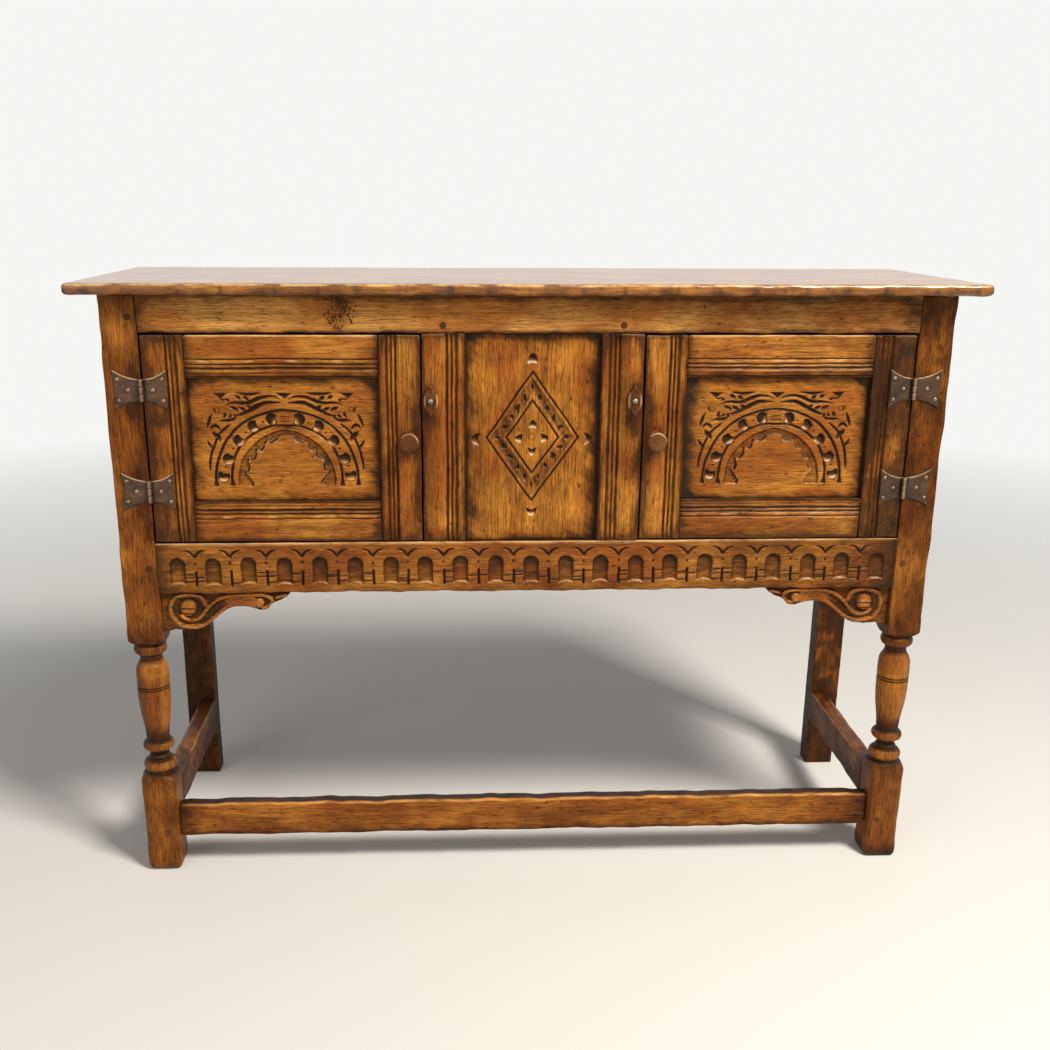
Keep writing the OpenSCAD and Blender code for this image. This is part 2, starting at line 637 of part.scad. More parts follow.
// One hinge leaf: dir -1 on the leg, 1 on the door, which has the middle knuckle
knuckle_gap = 0.3;
knuckle_room = 0.6;                              // clearance of a leaf's slot round the other knuckle
mid_knuckle = knuckle_h/3;
module leaf_shape(z, w, dir) {
  rise = leaf_h/2 - knuckle_h/2;
  run = w - knuckle_r;
  cut_r = (run*run + rise*rise)/(2*rise);
  on_door = dir > 0;
  translate([-axis_x, 0, z]) difference() {
    union() {
      intersection() {
        block([min(0, dir*w), front_y - leaf_t, -leaf_h/2], [max(0, dir*w), front_y, leaf_h/2]);
        difference() {
          block([-w, front_y - leaf_t - over, -leaf_h], [w, front_y + over, leaf_h]);
          for (s = [-1, 1]) rod_y(cut_r, dir*knuckle_r, s*(knuckle_h/2 + cut_r),
                                  front_y - leaf_t - 2*over, front_y + 2*over);
          for (s = [-1, 1]) block([-knuckle_r - over, front_y - 2*leaf_t, min(s*knuckle_h/2, s*leaf_h)],
                                  [knuckle_r + over, front_y + over, max(s*knuckle_h/2, s*leaf_h)]);
        }
      }
      translate([0, axis_y, -knuckle_h/2]) cylinder(r = knuckle_r, h = knuckle_h);
    }
    translate([0, axis_y, -knuckle_h]) cylinder(r = pin_r + running, h = 2*knuckle_h);
    if (on_door) {
      for (s = [-1, 1]) knuckle_slot(min(s*mid_knuckle/2, s*knuckle_h), max(s*mid_knuckle/2, s*knuckle_h));
    } else {
      knuckle_slot(-mid_knuckle/2 - knuckle_gap, mid_knuckle/2 + knuckle_gap);
    }
    for (p = nails(w)) rod_y(nail_r + peg_gap, dir*p[0], p[1], front_y - leaf_t - over, front_y + over);
  }
}
module knuckle_slot(z0, z1) {
  c = knuckle_r + knuckle_room;
  block([-c, axis_y - c, z0], [c, front_y + over, z1]);
}
module post_leaf_left_upper() { color("dimgray") leaf_shape(hinge_zs[0], post_leaf_w, -1); }
module post_leaf_left_lower() { color("dimgray") leaf_shape(hinge_zs[1], post_leaf_w, -1); }
module post_leaf_right_upper() { color("dimgray") right_hand() leaf_shape(hinge_zs[0], post_leaf_w, -1); }
module post_leaf_right_lower() { color("dimgray") right_hand() leaf_shape(hinge_zs[1], post_leaf_w, -1); }

module nail(x, z) {
  dome = nail_head_r*0.57;
  ball = (nail_head_r*nail_head_r + dome*dome)/(2*dome);
  rod_y(nail_r, x, z, front_y - leaf_t - dome/4, front_y + nail_l);
  translate([x, front_y - leaf_t, z]) intersection() {
    translate([0, ball - dome, 0]) sphere(r = ball);
    rotate([90, 0, 0]) cylinder(r = nail_head_r + over, h = dome + over);
  }
}
module leaf_nails(w, dir) {
  for (z = hinge_zs, p = nails(w)) nail(-axis_x + dir*p[0], z + p[1]);
}
module post_leaf_nails() {
  color("dimgray") for (m = [0, 1]) mirror([m, 0, 0]) leaf_nails(post_leaf_w, -1);
}
module hinge_pins() {
  color("gray") for (m = [0, 1], z = hinge_zs) mirror([m, 0, 0])
    translate([-axis_x, axis_y, z - knuckle_h/2 - 0.5]) cylinder(r = pin_r, h = knuckle_h + 1);
}
// Round headed screw that a turn button swings on
screw_l = 15;                                    // length of the screws in the muntins
module button_screws() {
  head_y = front_y - 2*stop_gap - button_t;      // underside of the heads
  ball = screw_r*2.3;
  color("silver") for (m = [0, 1]) mirror([m, 0, 0]) translate([-button_x, 0, sill + button_z]) {
    rod_y(screw_r, 0, 0, head_y - screw_r/4, front_y + screw_l);
    translate([0, head_y, 0]) intersection() {
      translate([0, ball/2, 0]) sphere(r = ball);
      rotate([90, 0, 0]) cylinder(r = 2*ball, h = ball);
    }
  }
}
// Pointed oval with sloping front edges, upright as it stands when the door is free
module turn_button_shape() {
  r = (button_l*button_l + button_w*button_w)/(4*button_w);
  base_t = button_t*0.45;
  slope = button_w*0.18;
  off = r - button_w/2;
  difference() {
    translate([-button_x, front_y - stop_gap, sill + button_z]) rotate([90, 0, 0]) {
      intersection_for(s = [-1, 1]) translate([s*off, 0, 0]) cylinder(r = r, h = base_t, $fn = 96);
      translate([0, 0, base_t]) intersection_for(s = [-1, 1]) translate([s*off, 0, 0])
        cylinder(r1 = r, r2 = r - slope, h = button_t - base_t, $fn = 96);
    }
    rod_y(screw_r + running, -button_x, sill + button_z, front_y - 2*button_t, front_y + over);
  }
}
module turn_button_left() { color("maroon") turn_button_shape(); }
module turn_button_right() { color("maroon") right_hand() turn_button_shape(); }

// Doors, drawn on the left
module door_hinge_stile_shape() {
  difference() {
    block([-door_hinge_x, front_y, door_z0], [-panel_x1, front_y + door_t, door_z1]);
    mould_z(-panel_x1, -1, door_z0, door_z1);
    block([-panel_x1 - groove_d, tongue_y - fit, panel_z0 - groove_d],
          [-panel_x1 + over, tongue_y + tongue_t + fit, panel_z1 + groove_d]);
    tenon_to_left(-panel_x1, tenon_l, door_mid, panel_z1, door_z1, fit);
    tenon_to_left(-panel_x1, tenon_l, door_mid, door_z0, panel_z0, fit);
    hinge_nail_holes(door_leaf_w, 1);
  }
}
module door_latch_stile_shape() {
  difference() {
    block([-panel_x0, front_y, door_z0], [-door_latch_x, front_y + door_t, door_z1]);
    mould_z(-panel_x0, 1, door_z0, door_z1);
    block([-panel_x0 - over, tongue_y - fit, panel_z0 - groove_d],
          [-panel_x0 + groove_d, tongue_y + tongue_t + fit, panel_z1 + groove_d]);
    translate([-2*panel_x0, 0, 0]) mirror([1, 0, 0]) {
      tenon_to_left(-panel_x0, tenon_l, door_mid, panel_z1, door_z1, fit);
      tenon_to_left(-panel_x0, tenon_l, door_mid, door_z0, panel_z0, fit);
    }
    rod_y(spigot_r + peg_gap, -knob_x, sill + knob_z, front_y - over, front_y + spigot_l + over);
  }
}
module door_rail(z0, z1) {
  mid = (panel_x0 + panel_x1)/2;
  half = (panel_x1 - panel_x0)/2;
  translate([-mid, 0, 0]) {
    block([-half, front_y, z0], [half, front_y + door_t, z1]);
    for (m = [0, 1]) mirror([m, 0, 0]) tenon_to_left(-half, tenon_l, door_mid, z0, z1);
  }
}
module door_rail_groove(z0, z1) {
  block([-panel_x1 - tenon_l, tongue_y - fit, z0], [-panel_x0 + tenon_l, tongue_y + tongue_t + fit, z1]);
}
module door_top_rail_shape() {
  difference() {
    door_rail(panel_z1, door_z1);
    mould_x(panel_z1, 1, -panel_x1, -panel_x0);
    door_rail_groove(panel_z1 - over, panel_z1 + groove_d);
  }
}
module door_bottom_rail_shape() {
  difference() {
    door_rail(door_z0, panel_z0);
    mould_x(panel_z0, -1, -panel_x1, -panel_x0);
    door_rail_groove(panel_z0 - groove_d, panel_z0 + over);
  }
}
// Half ring of the lunette, between two shares of its radius
module half_ring(k0, k1) {
  intersection() {
    difference() { circle(r = lunette_r*k1, $fn = 96); circle(r = lunette_r*k0, $fn = 96); }
    translate([-lunette_r, 0]) square([2*lunette_r, lunette_r]);
  }
}
lunette_foot = 22;                               // foot of the lunette above the panel's edge
module door_panel_shape() {
  mid = (panel_x0 + panel_x1)/2;
  difference() {
    tongued_board(-panel_x1, -panel_x0, panel_z0, panel_z1);
    plate(panel_y - over, channel_d + over) translate([-mid, panel_z0 + lunette_foot]) {
      half_ring(0.97, 1);
      half_ring(0.81, 0.84);
      half_ring(0.6, 0.78);
      half_ring(0.45, 0.5);
      for (s = [-1, 1]) translate([s*lunette_r*0.95, lunette_r*1.05]) circle(r = lunette_r*0.07);
      translate([0, lunette_r*1.22]) circle(r = lunette_r*0.05);
    }
  }
}
spigot_r = 5;                                    // spigot of a knob, in its stile
spigot_l = 16;
module door_knob_shape() {
  profile = concat([[0, spigot_l], [spigot_r, spigot_l], [spigot_r, 0], [knob_r*0.62, 0],
                    [knob_r*0.58, -knob_l*0.11], [knob_r*0.52, -knob_l*0.25]],
    [for (a = [0:15:90]) [knob_r*(0.52 + 0.3*sin(a)), -knob_l*(0.5 - 0.18*cos(a))]],
    [[knob_r*0.86, -knob_l*0.62], [knob_r, -knob_l*0.75], [knob_r, -knob_l*0.89],
     [knob_r*0.9, -knob_l*0.96], [knob_r*0.6, -knob_l], [0, -knob_l]]);
  translate([-knob_x, front_y, sill + knob_z]) rotate([-90, 0, 0]) rotate_extrude() polygon(profile);
}

module left_door_hinge_stile() { color("peru") door_hinge_stile_shape(); }
module left_door_latch_stile() { color("peru") door_latch_stile_shape(); }
module left_door_top_rail() { color("peru") door_top_rail_shape(); }
module left_door_bottom_rail() { color("peru") door_bottom_rail_shape(); }
module left_door_panel() { color("chocolate") door_panel_shape(); }
module left_door_knob() { color("maroon") door_knob_shape(); }
module left_door_leaf_upper() { color("dimgray") leaf_shape(hinge_zs[0], door_leaf_w, 1); }
module left_door_leaf_lower() { color("dimgray") leaf_shape(hinge_zs[1], door_leaf_w, 1); }
module left_door_leaf_nails() { color("dimgray") leaf_nails(door_leaf_w, 1); }
module right_door_hinge_stile() { color("peru") right_hand() door_hinge_stile_shape(); }
module right_door_latch_stile() { color("peru") right_hand() door_latch_stile_shape(); }
module right_door_top_rail() { color("peru") right_hand() door_top_rail_shape(); }
module right_door_bottom_rail() { color("peru") right_hand() door_bottom_rail_shape(); }
module right_door_panel() { color("chocolate") right_hand() door_panel_shape(); }
module right_door_knob() { color("maroon") right_hand() door_knob_shape(); }
module right_door_leaf_upper() { color("dimgray") right_hand() leaf_shape(hinge_zs[0], door_leaf_w, 1); }
module right_door_leaf_lower() { color("dimgray") right_hand() leaf_shape(hinge_zs[1], door_leaf_w, 1); }
module right_door_leaf_nails() { color("dimgray") right_hand() leaf_nails(door_leaf_w, 1); }

top_board();
front_leg_left();
front_leg_right();
back_leg_left();
back_leg_right();
front_top_rail();
front_carved_rail();
muntin_left();
muntin_right();
centre_panel();
side_top_rail_left();
side_top_rail_right();
side_bottom_rail_left();
side_bottom_rail_right();
side_panel_left();
side_panel_right();
back_top_rail();
back_bottom_rail();
back_boards();
floor_boards();
floor_bearers();
front_stretcher();
side_stretcher_left();
side_stretcher_right();
scroll_bracket_left();
scroll_bracket_right();
frame_pegs();
door_stops();
post_leaf_left_upper();
post_leaf_left_lower();
post_leaf_right_upper();
post_leaf_right_lower();
post_leaf_nails();
hinge_pins();
button_screws();
turn_button_left();
turn_button_right();
left_door_hinge_stile();
left_door_latch_stile();
left_door_top_rail();
left_door_bottom_rail();
left_door_panel();
left_door_knob();
left_door_leaf_upper();
left_door_leaf_lower();
left_door_leaf_nails();
right_door_hinge_stile();
right_door_latch_stile();
right_door_top_rail();
right_door_bottom_rail();
right_door_panel();
right_door_knob();
right_door_leaf_upper();
right_door_leaf_lower();
right_door_leaf_nails();
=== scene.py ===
import json
import math
import bmesh
import bpy
import numpy as np
from mathutils import Matrix, Vector


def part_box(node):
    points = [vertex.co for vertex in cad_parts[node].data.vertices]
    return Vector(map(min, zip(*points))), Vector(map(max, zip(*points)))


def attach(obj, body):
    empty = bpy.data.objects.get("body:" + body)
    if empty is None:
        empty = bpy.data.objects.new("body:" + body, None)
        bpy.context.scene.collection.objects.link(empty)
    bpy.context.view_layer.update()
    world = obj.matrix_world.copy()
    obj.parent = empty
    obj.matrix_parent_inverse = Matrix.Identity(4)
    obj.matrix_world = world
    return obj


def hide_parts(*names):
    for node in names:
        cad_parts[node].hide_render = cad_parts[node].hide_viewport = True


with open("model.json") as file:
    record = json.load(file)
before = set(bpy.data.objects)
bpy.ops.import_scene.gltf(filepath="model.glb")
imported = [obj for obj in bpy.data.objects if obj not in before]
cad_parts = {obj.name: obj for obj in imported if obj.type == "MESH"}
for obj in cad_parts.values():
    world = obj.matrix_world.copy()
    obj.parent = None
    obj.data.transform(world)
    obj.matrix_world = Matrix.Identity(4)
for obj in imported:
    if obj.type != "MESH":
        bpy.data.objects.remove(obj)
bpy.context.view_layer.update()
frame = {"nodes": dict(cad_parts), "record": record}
scene = bpy.context.scene
mm = 0.001
bodyOf = {node: body for body, nodes in frame["record"]["behaviour"]["bodies"].items() for node in nodes}


# Measures

def nodeBox(node):
    low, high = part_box(node)
    return np.array(low)/mm, np.array(high)/mm


frontLeg = nodeBox("front_leg_left")
backLeg = nodeBox("back_leg_left")
frontY = frontLeg[0][1]                      # face of the frame
postIn = -frontLeg[1][0]                     # inner face of the front legs
openTop = nodeBox("front_top_rail")[0][2]    # door openings, top and sill
sill = nodeBox("front_carved_rail")[1][2]
muntinIn = -nodeBox("muntin_left")[1][0]
inset = 3                                    # panels run on behind their frames
outward = {"left": -1, "right": 1}           # which way each end of the cabinet looks
hingeLevels = [np.mean([box[2] for box in nodeBox(leaf)])
               for leaf in ("post_leaf_left_lower", "post_leaf_left_upper")]


# Hand work: soft noise, rounded edges, cuts and strokes, all in millimetres

leastGap = 0.28                              # between two lines of a mesh
noGrime = (0, 0, 0, 0, 0)


def clip01(values):
    return np.clip(values, 0, 1)


def hump(values, middle, spread):
    # 1 at the middle, fading away on both sides of it
    return np.exp(-((values - middle)/spread)**2)


def slowNoise(points, seed, spans=(150, 61, 27)):
    # a few crossing sines, from -1 to 1
    chance = np.random.default_rng(seed)
    total = np.zeros(len(points))
    for share, span in zip((0.5, 0.3, 0.2), spans):
        way = chance.normal(size=3)
        way /= np.linalg.norm(way)
        total += share*np.sin(points @ way*2*math.pi/span*1.3 + chance.uniform(0, 6.28))
    return total


def lineNoise(along, seed, spans=(170, 73, 38)):
    chance = np.random.default_rng(seed)
    return sum(share*np.sin(along*2*math.pi/span*chance.uniform(0.8, 1.25) + chance.uniform(0, 6.28))
               for share, span in zip((0.5, 0.3, 0.2), spans))


def noise01(along, seed, spans):
    return 0.5 + 0.5*lineNoise(along, seed, spans)


def waver(points, reach, seed, spans=(150, 61, 27)):
    return reach*np.stack([slowNoise(points, seed*7 + axis, spans) for axis in range(3)], axis=1)


def cuts(size, step, near=(0, 0.5, 1.1, 2, 3.6, 7), extra=()):
    # places of the mesh lines along one side, close together at its ends
    ends = [n for n in near if n < 0.45*size]
    count = max(1, round((size - 2*ends[-1])/step))
    between = np.linspace(ends[-1], size - ends[-1], count + 1)
    kept = [0.0]
    for row in np.sort(np.concatenate([ends, between, size - np.array(ends), extra])):
        if row - kept[-1] > leastGap and size - row > leastGap:
            kept.append(float(row))
    return kept + [float(size)]


def vertsOf(geom):
    return [g for g in geom if isinstance(g, bmesh.types.BMVert)]


def facesOf(geom):
    return [g for g in geom if isinstance(g, bmesh.types.BMFace)]


def openEdgesOf(geom):
    return [g for g in geom if isinstance(g, bmesh.types.BMEdge) and g.is_boundary]


def sheet(us, vs):
    bm = bmesh.new()
    bmesh.ops.create_grid(bm, x_segments=len(us) - 1, y_segments=len(vs) - 1, size=0.5)
    for vert in bm.verts:
        vert.co.x = us[round((vert.co.x + 0.5)*(len(us) - 1))]
        vert.co.y = vs[round((vert.co.y + 0.5)*(len(vs) - 1))]
    return bm


def pullRim(bm, ws):
    # side walls from the sheet's rim back through every w, closed by one flat back
    rim = [e for e in bm.edges if e.is_boundary]
    for near, far in zip(ws, ws[1:]):
        made = bmesh.ops.extrude_edge_only(bm, edges=rim)["geom"]
        bmesh.ops.translate(bm, vec=(0, 0, far - near), verts=vertsOf(made))
        rim = openEdgesOf(made)
    bmesh.ops.contextual_create(bm, geom=rim)
    for edge in rim:
        edge.smooth = False


def thicken(bm, depth):
    # the back and the walls of a sheet
    made = bmesh.ops.extrude_face_region(bm, geom=bm.faces[:])["geom"]
    bmesh.ops.translate(bm, vec=(0, 0, depth), verts=vertsOf(made))
    return made


def latticeBoard(us, vs, ws, flatBack=False):
    # a sheet at w = 0, pulled back to a closed board whose sides are cut at every w
    bm = sheet(us, vs)
    if flatBack:
        pullRim(bm, ws)
        return bm
    thicken(bm, ws[-1])
    bm.normal_update()
    sides = [f for f in bm.faces if abs(f.normal.z) < 0.5]
    edges = dict.fromkeys(e for f in sides for e in f.edges)
    verts = dict.fromkeys(v for f in sides for v in f.verts)
    geom = [*sides, *edges, *verts]
    for w in ws[1:-1]:
        geom = bmesh.ops.bisect_plane(bm, geom=geom, plane_co=(0, 0, w), plane_no=(0, 0, 1))["geom"]
    return bm


def turnProfile(bm, profile, centre, axis, steps):
    # an open profile, turned once round its axis
    verts = [bm.verts.new(point) for point in profile]
    edges = [bm.edges.new(pair) for pair in zip(verts, verts[1:])]
    bmesh.ops.spin(bm, geom=verts + edges, cent=centre, axis=axis, angle=2*math.pi, steps=steps,
                   use_merge=True)


def roundArris(rest, size, radius):
    radius = np.broadcast_to(radius, len(rest))[:, None]
    core = np.clip(rest, radius, size - radius)
    off = rest - core
    length = np.linalg.norm(off, axis=1, keepdims=True)
    return core + off/np.maximum(length, 1e-9)*np.minimum(length, radius)


def nearArris(rest, size, reach=7):
    # 1 on an edge of the board, 0 where the edge is further away than reach
    reach = min(reach, 0.45*min(size))
    off = np.abs(rest - np.clip(rest, reach, size - reach))/reach
    return np.sort(off, axis=1)[:, 1]**1.5


facings = {"front": (0, 2, 1, False), "back": (0, 2, 1, True), "left": (1, 2, 0, False),
           "right": (1, 2, 0, True), "up": (0, 1, 2, True)}


def placeBoard(points, low, high, facing):
    uAxis, vAxis, wAxis, flipped = facings[facing]
    placed = np.empty_like(points)
    placed[:, uAxis] = low[uAxis] + points[:, 0]
    placed[:, vAxis] = low[vAxis] + points[:, 1]
    placed[:, wAxis] = high[wAxis] - points[:, 2] if flipped else low[wAxis] + points[:, 2]
    return placed


def finishPiece(bm, name, node, material, grain=None, wearAndHighlight=0, patinaAndShade=0):
    # gives the mesh its attributes, hangs it on the body of its node and hides that node
    bmesh.ops.recalc_face_normals(bm, faces=bm.faces)
    mesh = bpy.data.meshes.new(name)
    bm.to_mesh(mesh)
    bm.free()
    count = len(mesh.vertices)
    mesh.shade_smooth()
    if grain is not None:
        mesh.attributes.new("grain", "FLOAT_VECTOR", "POINT").data.foreach_set(
            "vector", np.asarray(grain*mm, np.float32).ravel())
    # the first attribute holds wear and painted highlights, the second patina and painted shade
    for key, values in (("wearAndHighlight", wearAndHighlight), ("patinaAndShade", patinaAndShade)):
        values = np.broadcast_to(clip01(values), count).astype(np.float32)
        mesh.attributes.new(key, "FLOAT", "POINT").data.foreach_set("value", values)
    piece = bpy.data.objects.new(name, mesh)
    scene.collection.objects.link(piece)
    mesh.materials.append(material)
    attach(piece, bodyOf[node])
    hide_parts(node)


def restOf(bm):
    bm.verts.ensure_lookup_table()
    return np.array([v.co[:] for v in bm.verts], float)


def moveTo(bm, points):
    for vert, point in zip(bm.verts, points*mm):
        vert.co = point


def grainOf(rest, along, seed):
    # board coordinates with the grain's direction first, shifted so that no two boards match
    order = {"u": (0, 1, 2), "v": (1, 0, 2), "w": (2, 0, 1)}[along]
    return rest[:, order] + np.random.default_rng(seed).uniform(-3000, 3000, 3)


# how much painted shade is lifted and painted highlight added on cut walls that face the light, how steep
# such a wall is, and the light's way
litLipShares = {"shadeLifted": 0.45, "wornAndLit": 0.7, "steep": 1.7, "light": (0.3, 0.95)}


def litLipMask(rest, depth, us, vs):
    # 1 on the walls of cuts that face up and a little to the right, towards the lamp: a painted highlight
    # there, with the painted shade lifted
    row, column = np.searchsorted(us, rest[:, 0] - 1e-3), np.searchsorted(vs, rest[:, 1] - 1e-3)
    grid = np.zeros((len(us), len(vs)))
    grid[row, column] = depth
    slopeU, slopeV = np.gradient(grid, us, vs)
    rise = slopeU*litLipShares["light"][0] + slopeV*litLipShares["light"][1]
    return clip01(rise[row, column]/litLipShares["steep"] - 0.15)


boardFinish = {"arrisWear": 0.48, "sideShade": 0.85, "backGrime": 0.3, "mostGrimeAndShade": 0.5, "edgeGrimeAndShade": 0.7}


def makeBoard(node, low, high, material, facing="front", along="u", step=8, arris=2.0, wobble=0.5,
              relief=None, extraU=(), extraV=(), waves=(0, 0), stains=(), grime=noGrime, dense=None, seed=1):
    # A hand-finished board in the box from low to high. relief(u, v) gives the depth cut from
    # its face, its patina and painted shade and its wear and painted highlights; waves are how far its lower
    # and upper edges wander;
    # its darkening is given overall, then by how far it reaches in from the low and high u and v edges,
    # partly dirt and partly painted shade;
    # dense is the step of a carved face, whose board gets one flat back.
    low, high = np.array(low, float), np.array(high, float)
    size = (high - low)[list(facings[facing][:3])]
    us = cuts(size[0], dense or step, extra=extraU)
    vs = cuts(size[1], dense or step, extra=extraV)
    bm = latticeBoard(us, vs, cuts(size[2], step), flatBack=bool(dense))
    rest = restOf(bm)
    u, v, w = rest.T
    radius = arris*(1 + 0.45*lineNoise(u + v*0.7, seed + 3))
    points = roundArris(rest, size, np.clip(radius, 0.3, 0.45*min(size)))
    # the top edge gets full wear, the others less: wear and painted highlight
    wearAndHighlight = nearArris(rest, size)*np.where(size[1] - v < 6, 1, boardFinish["arrisWear"])
    wearAndHighlight *= 0.85 + 0.3*lineNoise(u + v, seed + 19, (90, 41, 17))
    uneven = 1 + 0.6*slowNoise(rest, seed + 17, (120, 47, 21))
    patinaAndShade = grime[0]*uneven
    # darker towards the edges: dirt at the joints and painted shade under and between pieces
    for away, reach in zip((u, size[0] - u, v, size[1] - v), grime[1:]):
        if reach:
            patinaAndShade = patinaAndShade + boardFinish["edgeGrimeAndShade"]*np.exp(-np.clip(away - 2, 0, None)/(reach*uneven))
    for x, z, acrossX, acrossZ, strength in stains:
        offX, offZ = low[0] + u - x, low[2] + v - z
        patinaAndShade = patinaAndShade + strength*np.exp(-(offX/acrossX)**2 - (offZ/acrossZ)**2)
    patinaAndShade = np.minimum(patinaAndShade, boardFinish["mostGrimeAndShade"] + 0.2*max(grime[0], 0) + 0.12*uneven)
    # the side faces of a front board, seen in the gaps between pieces, are painted shade
    if facing == "front":
        sides, back = w > arris + 1, w > size[2] - 0.5
        patinaAndShade = np.where(sides, np.where(back, boardFinish["backGrime"], boardFinish["sideShade"]), patinaAndShade)
        wearAndHighlight = np.where(back, 0, wearAndHighlight)
    # a painted highlight line along the top edge of a rail
    if facing == "front" and along == "u":
        topHighlight = clip01(1.3 - (size[1] - v)/3.6)*(0.75 + 0.35*lineNoise(u, seed + 23))
        wearAndHighlight = np.maximum(wearAndHighlight, topHighlight*~sides)
    if relief:
        face = w < 0.01
        depth, dark, rub = relief(u[face], v[face])
        points[face, 2] += depth
        # cut walls facing the light lose some painted shade and get a painted highlight
        litLip = litLipMask(rest[face], depth, us, vs)
        patinaAndShade[face] = np.maximum(patinaAndShade[face], dark)*(1 - litLipShares["shadeLifted"]*litLip)
        wearAndHighlight[face] = np.maximum(np.maximum(wearAndHighlight[face], rub), litLipShares["wornAndLit"]*litLip)
    for edge, reach in enumerate(waves):
        if reach:
            near = clip01(1 - np.abs(v - edge*size[1])/min(25, 0.6*size[1]))
            inward = noise01(u, seed + 11 + edge, (110, 53, 31))
            points[:, 1] += (reach if edge == 0 else -reach)*inward*near
    placed = placeBoard(points, low, high, facing)
    placed += waver(placed, wobble, seed)
    moveTo(bm, np.clip(placed, low, high))
    finishPiece(bm, node + "_oak", node, material, grainOf(rest, along, seed), wearAndHighlight, patinaAndShade)


# Strokes of the carver's gouges

def pathDistance(u, v, points):
    best = np.full(len(u), 1e9)
    share = np.zeros(len(u))
    lengths = np.hypot(*np.diff(np.array(points, float), axis=0).T)
    start = np.concatenate([[0], np.cumsum(lengths)])
    for (x0, y0), (x1, y1), done, length in zip(points[:-1], points[1:], start, lengths):
        t = clip01(((u - x0)*(x1 - x0) + (v - y0)*(y1 - y0))/length**2)
        away = np.hypot(u - x0 - t*(x1 - x0), v - y0 - t*(y1 - y0))
        closer = away < best
        best[closer] = away[closer]
        share[closer] = (done + t[closer]*length)/start[-1]
    return best, share


def smoothPath(points, parts=6):
    points = np.array(points, float)
    padded = np.vstack([2*points[0] - points[1], points, 2*points[-1] - points[-2]])
    path = []
    for a, b, c, d in zip(padded, padded[1:], padded[2:], padded[3:]):
        for t in np.arange(parts)/parts:
            path.append(0.5*(2*b + (c - a)*t + (2*a - 5*b + 4*c - d)*t*t + (3*b - a - 3*c + d)*t**3))
    return [tuple(p) for p in path] + [tuple(points[-1])]


def stroke(u, v, points, width, depth, ends=0.5):
    # V-shaped cut along a smooth path, thin at its two ends
    middleU, middleV = np.mean([p[0] for p in points]), np.mean([p[1] for p in points])
    near = (np.abs(u - middleU) < 70) & (np.abs(v - middleV) < 70)
    result = np.zeros(len(u))
    away, share = pathDistance(u[near], v[near], smoothPath(points) if len(points) > 2 else points)
    half = width/2*np.maximum(np.sin(math.pi*np.clip(share, 0.04, 0.96)), 0.05)**ends
    result[near] = depth*clip01(1 - away/half)*np.minimum(half/width*2, 1)
    return result


def edgeRise(distance, soft=0.8):
    # 0 outside a shape, rising to 1 within soft of its edge
    return clip01(distance/soft)


def thumb(u, v, x, y, turn, width, length, bite, depth):
    # thumbnail gouge: an arch whose foot curves in a little
    angle = math.radians(turn)
    a = (u - x)*math.cos(angle) + (v - y)*math.sin(angle)
    b = -(u - x)*math.sin(angle) + (v - y)*math.cos(angle)
    arch = length*np.sqrt(clip01(1 - (2*a/width)**2))
    foot = b - bite*clip01(1 - (2*a/width)**2)
    return depth*edgeRise(arch - b)*edgeRise(foot, 0.7)*(np.abs(a) < width/2)


def ring(u, v, x, y, radius, width, depth):
    return depth*clip01(1 - np.abs(np.hypot(u - x, v - y) - radius)/(width/2))


# Materials

def rgb(red, green, blue):
    # colour from 0 to 255, as a picture shows it
    def linear(c):
        c /= 255
        return c/12.92 if c <= 0.04045 else ((c + 0.055)/1.055)**2.4
    return (linear(red), linear(green), linear(blue), 1)


def newMaterial(name):
    material = bpy.data.materials.new(name)
    material.use_nodes = True
    tree = material.node_tree
    tree.nodes.clear()

    def add(kind, inputs=(), output=0, **settings):
        node = tree.nodes.new("ShaderNode" + kind)
        for key, value in settings.items():
            setattr(node, key, value)
        for key, value in dict(inputs).items():
            if isinstance(value, bpy.types.NodeSocket):
                tree.links.new(value, node.inputs[key])
            else:
                node.inputs[key].default_value = value
        return node.outputs[output] if node.outputs else node
    return material, add


def mixed(add, share, first, second, blend="MIX"):
    return add("Mix", {0: share, 6: first, 7: second}, 2, data_type="RGBA", blend_type=blend)


def sums(add, operation, first, second=0.0, third=0.0):
    return add("Math", {0: first, 1: second, 2: third}, operation=operation)


def spread(add, value, low, high, toLow=0.0, toHigh=1.0):
    return add("MapRange", {0: value, 1: low, 2: high, 3: toLow, 4: toHigh})


def noise(add, vector, scale, detail=3, distortion=0.0):
    stretched = add("Mapping", {0: vector, 3: scale})
    return add("TexNoise", {"Vector": stretched, "Scale": 1.0, "Detail": detail, "Distortion": distortion})


def finishMaterial(add, colour, roughness, height, bump, settings):
    normal = add("Bump", {"Strength": bump[0], "Distance": bump[1], "Height": height})
    inputs = {"Base Color": colour, "Roughness": roughness, "Normal": normal, **settings}
    shader = add("BsdfPrincipled", inputs)
    add("OutputMaterial", {0: shader})


